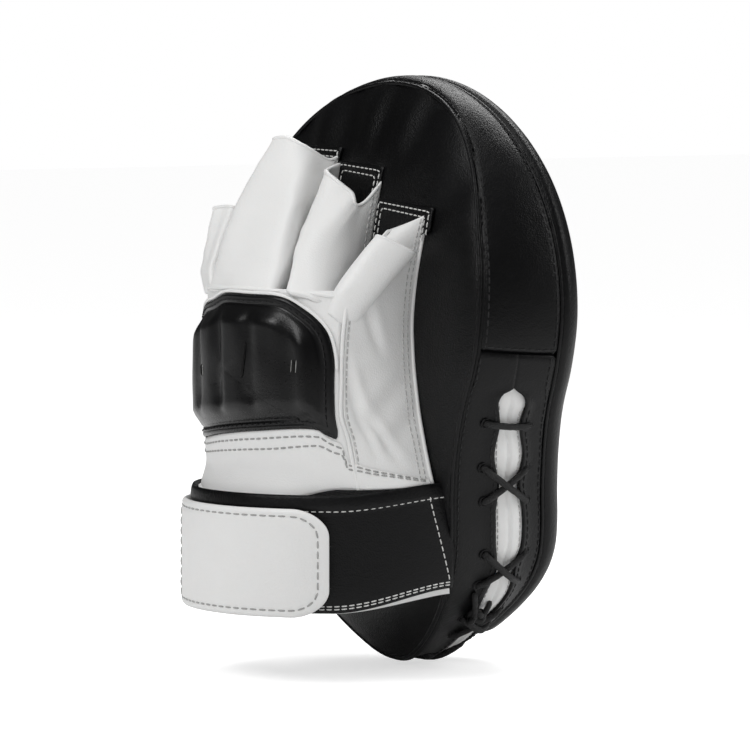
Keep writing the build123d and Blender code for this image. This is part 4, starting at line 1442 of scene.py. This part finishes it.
def index_point(u, v):
    """u right round the tube, v from the knuckles to the mouth."""
    centre = spline(INDEX_LINE, v)
    ca, sa = cos(2 * pi * u), sin(2 * pi * u)
    # a soft super-ellipse: flatter sides, tight folds at both edges
    across = copysign(abs(ca) ** 0.86, ca) * lookup(INDEX_WIDTHS, v)
    deep = copysign(abs(sa) ** 0.95, sa) * lookup(INDEX_DEPTHS, v)
    fold = 0.45 * noise_at((centre[0] + across, centre[1] + deep, centre[2] * 1.4),
                           0.07, 17.0)
    p = along(along(centre, INDEX_WIDE, across), INDEX_DEEP, deep + fold)
    return along(p, INDEX_AXIS, 2.2 * ca * ramp(v, 0.75, 1.0))


index_stall = Surface(index_point, inside=(-41.0, 36.0, 45.0), closed=True)
index_object = index_stall.mesh("stall_index_leather", 72, 36, 1.4, WHITE,
                                nodes=["stall_index"])


def blend_stall(ob, name):
    """Bakes the object's transform into its mesh."""
    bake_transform(ob)


for name, ob in stall_objects.items():
    blend_stall(ob, name)
blend_stall(index_object, "index")
for name, surface in stall_surfaces.items():
    rows = [surface.column(u, 40, 1) for u in (0.035, 0.075, 0.965, 0.925)]
    ob = stitches("stall_%s_foot_stitching" % name, rows, THREAD_PALE,
                  length=1.9, gap=1.1, radius=0.27, lift=0.05)
    blend_stall(ob, name)
    hem = ridge("stall_%s_mouth_hem" % name, surface.row(0.985, 40, 1, 39), 0.85, -0.35)
    blend_stall(hem, name)
blend_stall(ridge("stall_index_mouth_hem", index_stall.row(0.985, 40), 0.75, -0.45), "index")

# raised seam where the stalls meet the padded panel
KNUCKLE_SEAM = [
    (-45.5, 52.6, 34.5), (-38, 59.6, 35.8), (-30, 64.6, 36.6), (-18, 71.6, 37.0),
    (-6, 74.6, 37.4), (6, 75.2, 37.4), (18, 73.4, 37.0), (30, 69.2, 36.4),
    (42, 61.2, 35.2), (52, 52.6, 34.0), (58.6, 45.0, 33.4),
]
tubes("knuckle_seam", [[spline(KNUCKLE_SEAM, k / 60) for k in range(61)]], 1.0, WHITE, "pad")

# ------------------------------------------------------------------ wrist strap
CUFF_X, CUFF_Y = 2.0, 10.0       # centre and half axes of the ellipse round the wrist
CUFF_RX, CUFF_RY = 65.0, 75.3
CUFF_INSIDE = (CUFF_X, CUFF_Y, -70)
STRAP_TOP, STRAP_BOTTOM = -46.5, -95.5
STRAP_THREAD = dict(length=2.1, gap=1.0, radius=0.26, lift=0.03)


def cuff_normal(phi):
    return unit((sin(radians(phi)) / CUFF_RX, cos(radians(phi)) / CUFF_RY, 0.0))


def cuff_point(phi, z, offset):
    """phi in degrees from +Y, negative to the thumb side."""
    a = radians(phi)
    return along((CUFF_X + CUFF_RX * sin(a), CUFF_Y + CUFF_RY * cos(a), z),
                 cuff_normal(phi), offset)


def phi_at(x, offset=0.0):
    return degrees(asin(min(max((x - CUFF_X) / (CUFF_RX + offset), -1), 1)))


PHI_ROOT, PHI_END = -89.5, phi_at(35.0)              # thumb-side strap
PHI_PINKY_START, PHI_PINKY_ROOT = phi_at(36.6), 89.5  # pinky-side strap


def strap_edges(phi):
    k = ramp(phi, -90, -48)
    return lerp(-42.0, STRAP_TOP, k), lerp(-86.5, STRAP_BOTTOM, k)


def pinky_edges(phi):
    k = ramp(phi, 50, 90)
    return lerp(STRAP_TOP, -42.5, k), lerp(STRAP_BOTTOM, -88.0, k)


def strap_skin(phi, z, offset, edges, seed):
    """Cuff point pulled in at both long edges, as a flat strip bent round a wrist is."""
    top, bottom = edges(phi)
    across = (z - (top + bottom) / 2) / ((top - bottom) / 2)
    wave = 0.5 * noise_at((phi * 0.5, 0, z), 0.05, seed)
    return cuff_point(phi, z, offset - 0.9 * across**4 + wave)


def strap_surface(start, end, edges, seed):
    def point(u, v):
        phi = lerp(start, end, u)
        top, bottom = edges(phi)
        from_top, from_bottom = (1 - v) * (top - bottom), v * (top - bottom)
        # soft edges, and a raised binding along the top
        height = 0.45 * rise(min(from_top, from_bottom), 0.9)
        height += 0.75 * (1 - ramp(from_top, 5.6, 6.6))
        return strap_skin(phi, lerp(bottom, top, v), height, edges, seed)
    return Surface(point, CUFF_INSIDE)


def lining_point(u, v):
    phi = lerp(PHI_ROOT, PHI_END - 2, u)
    top, bottom = strap_edges(phi)
    bottom -= lerp(2.6, 0.3, ramp(phi, -85, -50))
    z = lerp(bottom, top - 1.0, v)
    return strap_skin(phi, z, -2.3 + 0.8 * gauss(z - bottom, 1.6), strap_edges, 31.0)


def slanted_seam(k):
    """(u, v) on the thumb-side strap of the slanted stitch row near its root."""
    z, phi = lerp(-48.0, -83.0, k), lerp(-80.5, -88.0, k)
    top, bottom = strap_edges(phi)
    return (phi - PHI_ROOT) / (PHI_END - PHI_ROOT), (z - bottom) / (top - bottom)


strap = strap_surface(PHI_ROOT, PHI_END, strap_edges, 31.0)
strap_object = strap.mesh("wrist_strap_leather", 130, 40, 2.0, BLACK, nodes=["wrist_strap"])
lining_object = Surface(lining_point, CUFF_INSIDE).mesh(
    "wrist_lining_leather", 100, 14, 1.5, WHITE, nodes=["wrist_lining"])
strap_stitching = stitches(
    "wrist_strap_stitching",
    [strap.row(v, 100, 1, 99) for v in (0.862, 0.060, 0.035)]
    + [strap.path([slanted_seam(k / 30) for k in range(31)])], THREAD_WHITE, **STRAP_THREAD)
for ob in (strap_object, lining_object, strap_stitching):
    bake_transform(ob)

# ------------------------------------------------------------------ sheets on the cuff
LAID_TOP = [1.0, 0.99, 0.975, 0.955, 0.93, 0.90, 0.87, 0.84, 0.8, 0.74, 0.66, 0.56, 0.46,
            0.36, 0.26, 0.16, 0.08]
LAID_BOTTOM = [1.0, 0.8, 0.55, 0.3]


def laid_height(corners, lift, thickness, soft_edge=0.6, groove=None, puff=0.0):
    """Height function of a sheet, with an optional stitched groove mm from its edge."""
    sides = segments(corners)

    def height(x, z):
        d = outline_distance(sides, x, z)
        h = lift + thickness * (0.45 + 0.55 * rise(d, soft_edge)) + puff * ramp(d, 1, 9)
        return h - 0.35 * gauss(d - groove, 0.6) if groove else h
    return height


def laid(name, corners, place, lift, height, material, nodes, body=None):
    """Sheet over a curved surface; place(x, z, offset) gives the point."""
    centre = centre_of(corners)
    rim = spaced(corners + corners[:1], 1.6, 1)

    def top_point(x, z):
        return place(x, z, height(x, z))

    def low_point(x, z):
        return place(x, z, lift)

    top = [[top_point(*mix(centre, p, share)) for p in rim] for share in LAID_TOP]
    bottom = [[low_point(*mix(centre, p, share)) for p in rim] for share in LAID_BOTTOM]
    return closed_sheet(name, top, top_point(*centre), bottom, low_point(*centre),
                        material, body, nodes)


def rounded(x0, x1, z0, z1, thumb_radius, pinky_radius):
    """Rectangle in (x, z) with its own corner radius at x0 and at x1."""
    out = []
    r, s = thumb_radius, pinky_radius
    for cx, cz, start, radius in ((x0 + r, z1 - r, 90, r), (x0 + r, z0 + r, 180, r),
                                  (x1 - s, z0 + s, 270, s), (x1 - s, z1 - s, 0, s)):
        n = 14 if radius > 3 else 4
        out += [on_circle(cx, cz, radius, start + 90 * k / n) for k in range(n + 1)]
    return out


TAB_RISE = 4.0  # added to the cuff's half width where x is turned into an angle


def place_cuff(x, z, offset):
    return cuff_point(phi_at(x, TAB_RISE), z, offset)


def place_tab(x, z, offset):
    """The tab dips at its pinky end and sways a little."""
    dip = 2.3 * ramp(x, 34, 49)
    return place_cuff(x, z, offset - dip + 0.35 * noise_at((x, 0, z), 0.05, 41.0))


def tab_outline(inset, pinky_radius):
    return rounded(-48.5 + inset, 50.5 - inset, -97.0 + inset, -52.0 - inset,
                   11.5 - inset, pinky_radius)


pile = rounded(-43, 23, -91, -54, 6, 2)
laid("loop_pile_patch", pile, place_cuff, 0.5, laid_height(pile, lift=0.5, thickness=1.1),
     PILE, ["loop_patch"], "cuff")
TAB_INSET = 3.0  # edge to groove and stitching
tab = tab_outline(0.0, 1.5)
tab_height = laid_height(tab, lift=2.9, thickness=2.0, soft_edge=0.7, groove=TAB_INSET,
                         puff=0.25)
tab_object = laid("hook_tab_leather", tab, place_tab, 2.9, tab_height, WHITE, ["hook_tab"])
tape = rounded(-41, 21, -90, -56, 7, 2)
tape_object = laid("hook_tape_patch", tape, place_tab, 1.7,
                   laid_height(tape, lift=1.7, thickness=1.15), HOOK, ["hook_patch"])


def on_tab(x, z):
    return place_tab(x, z, tab_height(x, z)), cuff_normal(phi_at(x, TAB_RISE))


stitch_line = tab_outline(TAB_INSET, 1.0)
tab_row = [on_tab(*p) for p in spaced(stitch_line + stitch_line[:1], 1.0, 1)]
tab_row.append(tab_row[0])
tab_stitching = stitches("hook_tab_stitching", [tab_row], THREAD_GREY,
                         length=2.6, gap=1.7, radius=0.36, lift=0.05)
box_rows = [[on_tab(x, lerp(-93.5, -55.5, k / 38)) for k in range(39)] for x in (33.0, 45.5)]
box_stitching = stitches("hook_tab_box_stitching", box_rows, THREAD_GREY,
                         length=2.6, gap=1.7, radius=0.34, lift=0.05)
for ob in (tab_object, tape_object, tab_stitching, box_stitching):
    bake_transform(ob)


# ------------------------------------------------------------------ pinky end of the strap
def pinky_lining_point(u, v):
    phi = lerp(PHI_PINKY_START + 2, PHI_PINKY_ROOT, u)
    top, bottom = pinky_edges(phi)
    bottom -= lerp(0.6, 3.4, ramp(phi, 45, 90))
    z = lerp(bottom, top - 1.0, v)
    return cuff_point(phi, z, -2.3 + 0.9 * gauss(z - bottom, 1.8))


pinky_strap = strap_surface(PHI_PINKY_START, PHI_PINKY_ROOT, pinky_edges, 37.0)
pinky_strap.mesh("pinky_strap_leather", 80, 40, 2.0, BLACK, "pad", ["pinky_strap"])
Surface(pinky_lining_point, CUFF_INSIDE).mesh(
    "pinky_lining_leather", 70, 14, 1.5, WHITE, "pad", ["pinky_lining"])
stitches("pinky_strap_stitching",
         [pinky_strap.row(v, 80, 1, 78) for v in (0.862, 0.035, 0.060)],
         THREAD_WHITE, "pad", **STRAP_THREAD)

# ------------------------------------------------------------------ studio, in metres
FLOOR_Z = -0.1262
FLOOR_HALF = 6
FLOOR_GLOW = 0.60           # emission that only the camera sees
WORLD_FILL = 0.46           # world strength for diffuse light
WORLD_REFLECTION = 0.05     # in reflections
WORLD_BACKDROP = 1.0        # and seen directly
scene = bpy.context.scene


def add_floor():
    mesh = bpy.data.meshes.new("floor")
    corners = ((-1, -1), (1, -1), (1, 1), (-1, 1))
    mesh.from_pydata([(x * FLOOR_HALF, y * FLOOR_HALF, FLOOR_Z) for x, y in corners], [],
                     [(0, 1, 2, 3)])
    floor = bpy.data.objects.new("floor", mesh)
    scene.collection.objects.link(floor)
    material = bpy.data.materials.new("floor_pale")
    material.use_nodes = True
    tree = material.node_tree
    surface = tree.nodes["Principled BSDF"]
    for key, value in {"Base Color": (0.86, 0.86, 0.86, 1), "Roughness": 0.85,
                       "Emission Color": (1, 1, 1, 1), "Specular IOR Level": 0.1}.items():
        surface.inputs[key].default_value = value
    light_path = tree.nodes.new("ShaderNodeLightPath")
    glow = tree.nodes.new("ShaderNodeMath")
    glow.operation = "MULTIPLY"
    glow.inputs[1].default_value = FLOOR_GLOW
    tree.links.new(light_path.outputs["Is Camera Ray"], glow.inputs[0])
    tree.links.new(glow.outputs[0], surface.inputs["Emission Strength"])
    mesh.materials.append(material)


def add_world():
    world = bpy.data.worlds.new("studio")
    world.use_nodes = True
    tree = world.node_tree
    background = tree.nodes["Background"]
    background.inputs[0].default_value = (1.0, 1.0, 1.0, 1)
    light_path = tree.nodes.new("ShaderNodeLightPath")

    def choose(ray, when_true):
        """Float mix: input 0 is the factor, 2 and 3 are the values at 0 and 1."""
        node = tree.nodes.new("ShaderNodeMix")
        node.data_type = "FLOAT"
        node.inputs[3].default_value = when_true
        tree.links.new(light_path.outputs[ray], node.inputs[0])
        return node

    reflected = choose("Is Glossy Ray", WORLD_REFLECTION)
    reflected.inputs[2].default_value = WORLD_FILL
    strength = choose("Is Camera Ray", WORLD_BACKDROP)
    tree.links.new(reflected.outputs[0], strength.inputs[2])
    tree.links.new(strength.outputs[0], background.inputs[1])
    scene.world = world


add_floor()
add_world()
scene.view_settings.view_transform = "Standard"

AZIMUTH, ELEVATION = radians(234.0), radians(4.0)
RIGHT = Vector((-0.588, -0.809, 0.0))   # the camera's right
UP = Vector((0, 0, 1))
TARGET = RIGHT * 0.013 + Vector((0, 0, -0.001))
TO_CAMERA = Vector((sin(AZIMUTH) * cos(ELEVATION), -cos(AZIMUTH) * cos(ELEVATION),
                    sin(ELEVATION)))
CAMERA_DISTANCE = 2.2


def aim(ob, location):
    ob.location = location
    ob.rotation_euler = (TARGET - location).to_track_quat("-Z", "Y").to_euler()
    scene.collection.objects.link(ob)


# name; metres towards the camera, right and up from the target; size, height (None for a
# square), watts
LIGHTS = (
    ("key", 0.75, -0.75, 0.85, 0.7, 0.5, 7.0),
    ("side", 0.15, 1.0, 0.55, 0.30, 0.8, 3.6),
    ("back", -0.8, 0.25, 0.9, 0.8, 0.4, 6.0),
    ("top", 0.1, -0.2, 1.2, 0.6, None, 3.0),
)
for name, near, right, up, size, height, watts in LIGHTS:
    lamp = bpy.data.lights.new(name, "AREA")
    lamp.energy = watts
    lamp.size = size
    if height:
        lamp.shape = "RECTANGLE"
        lamp.size_y = height
    aim(bpy.data.objects.new(name, lamp), TARGET + TO_CAMERA * near + RIGHT * right + UP * up)

lens = bpy.data.cameras.new("main_camera")
lens.lens = 250.0
lens.clip_start = 0.01
camera = bpy.data.objects.new("main_camera", lens)
aim(camera, TARGET + TO_CAMERA * CAMERA_DISTANCE)
scene.camera = camera
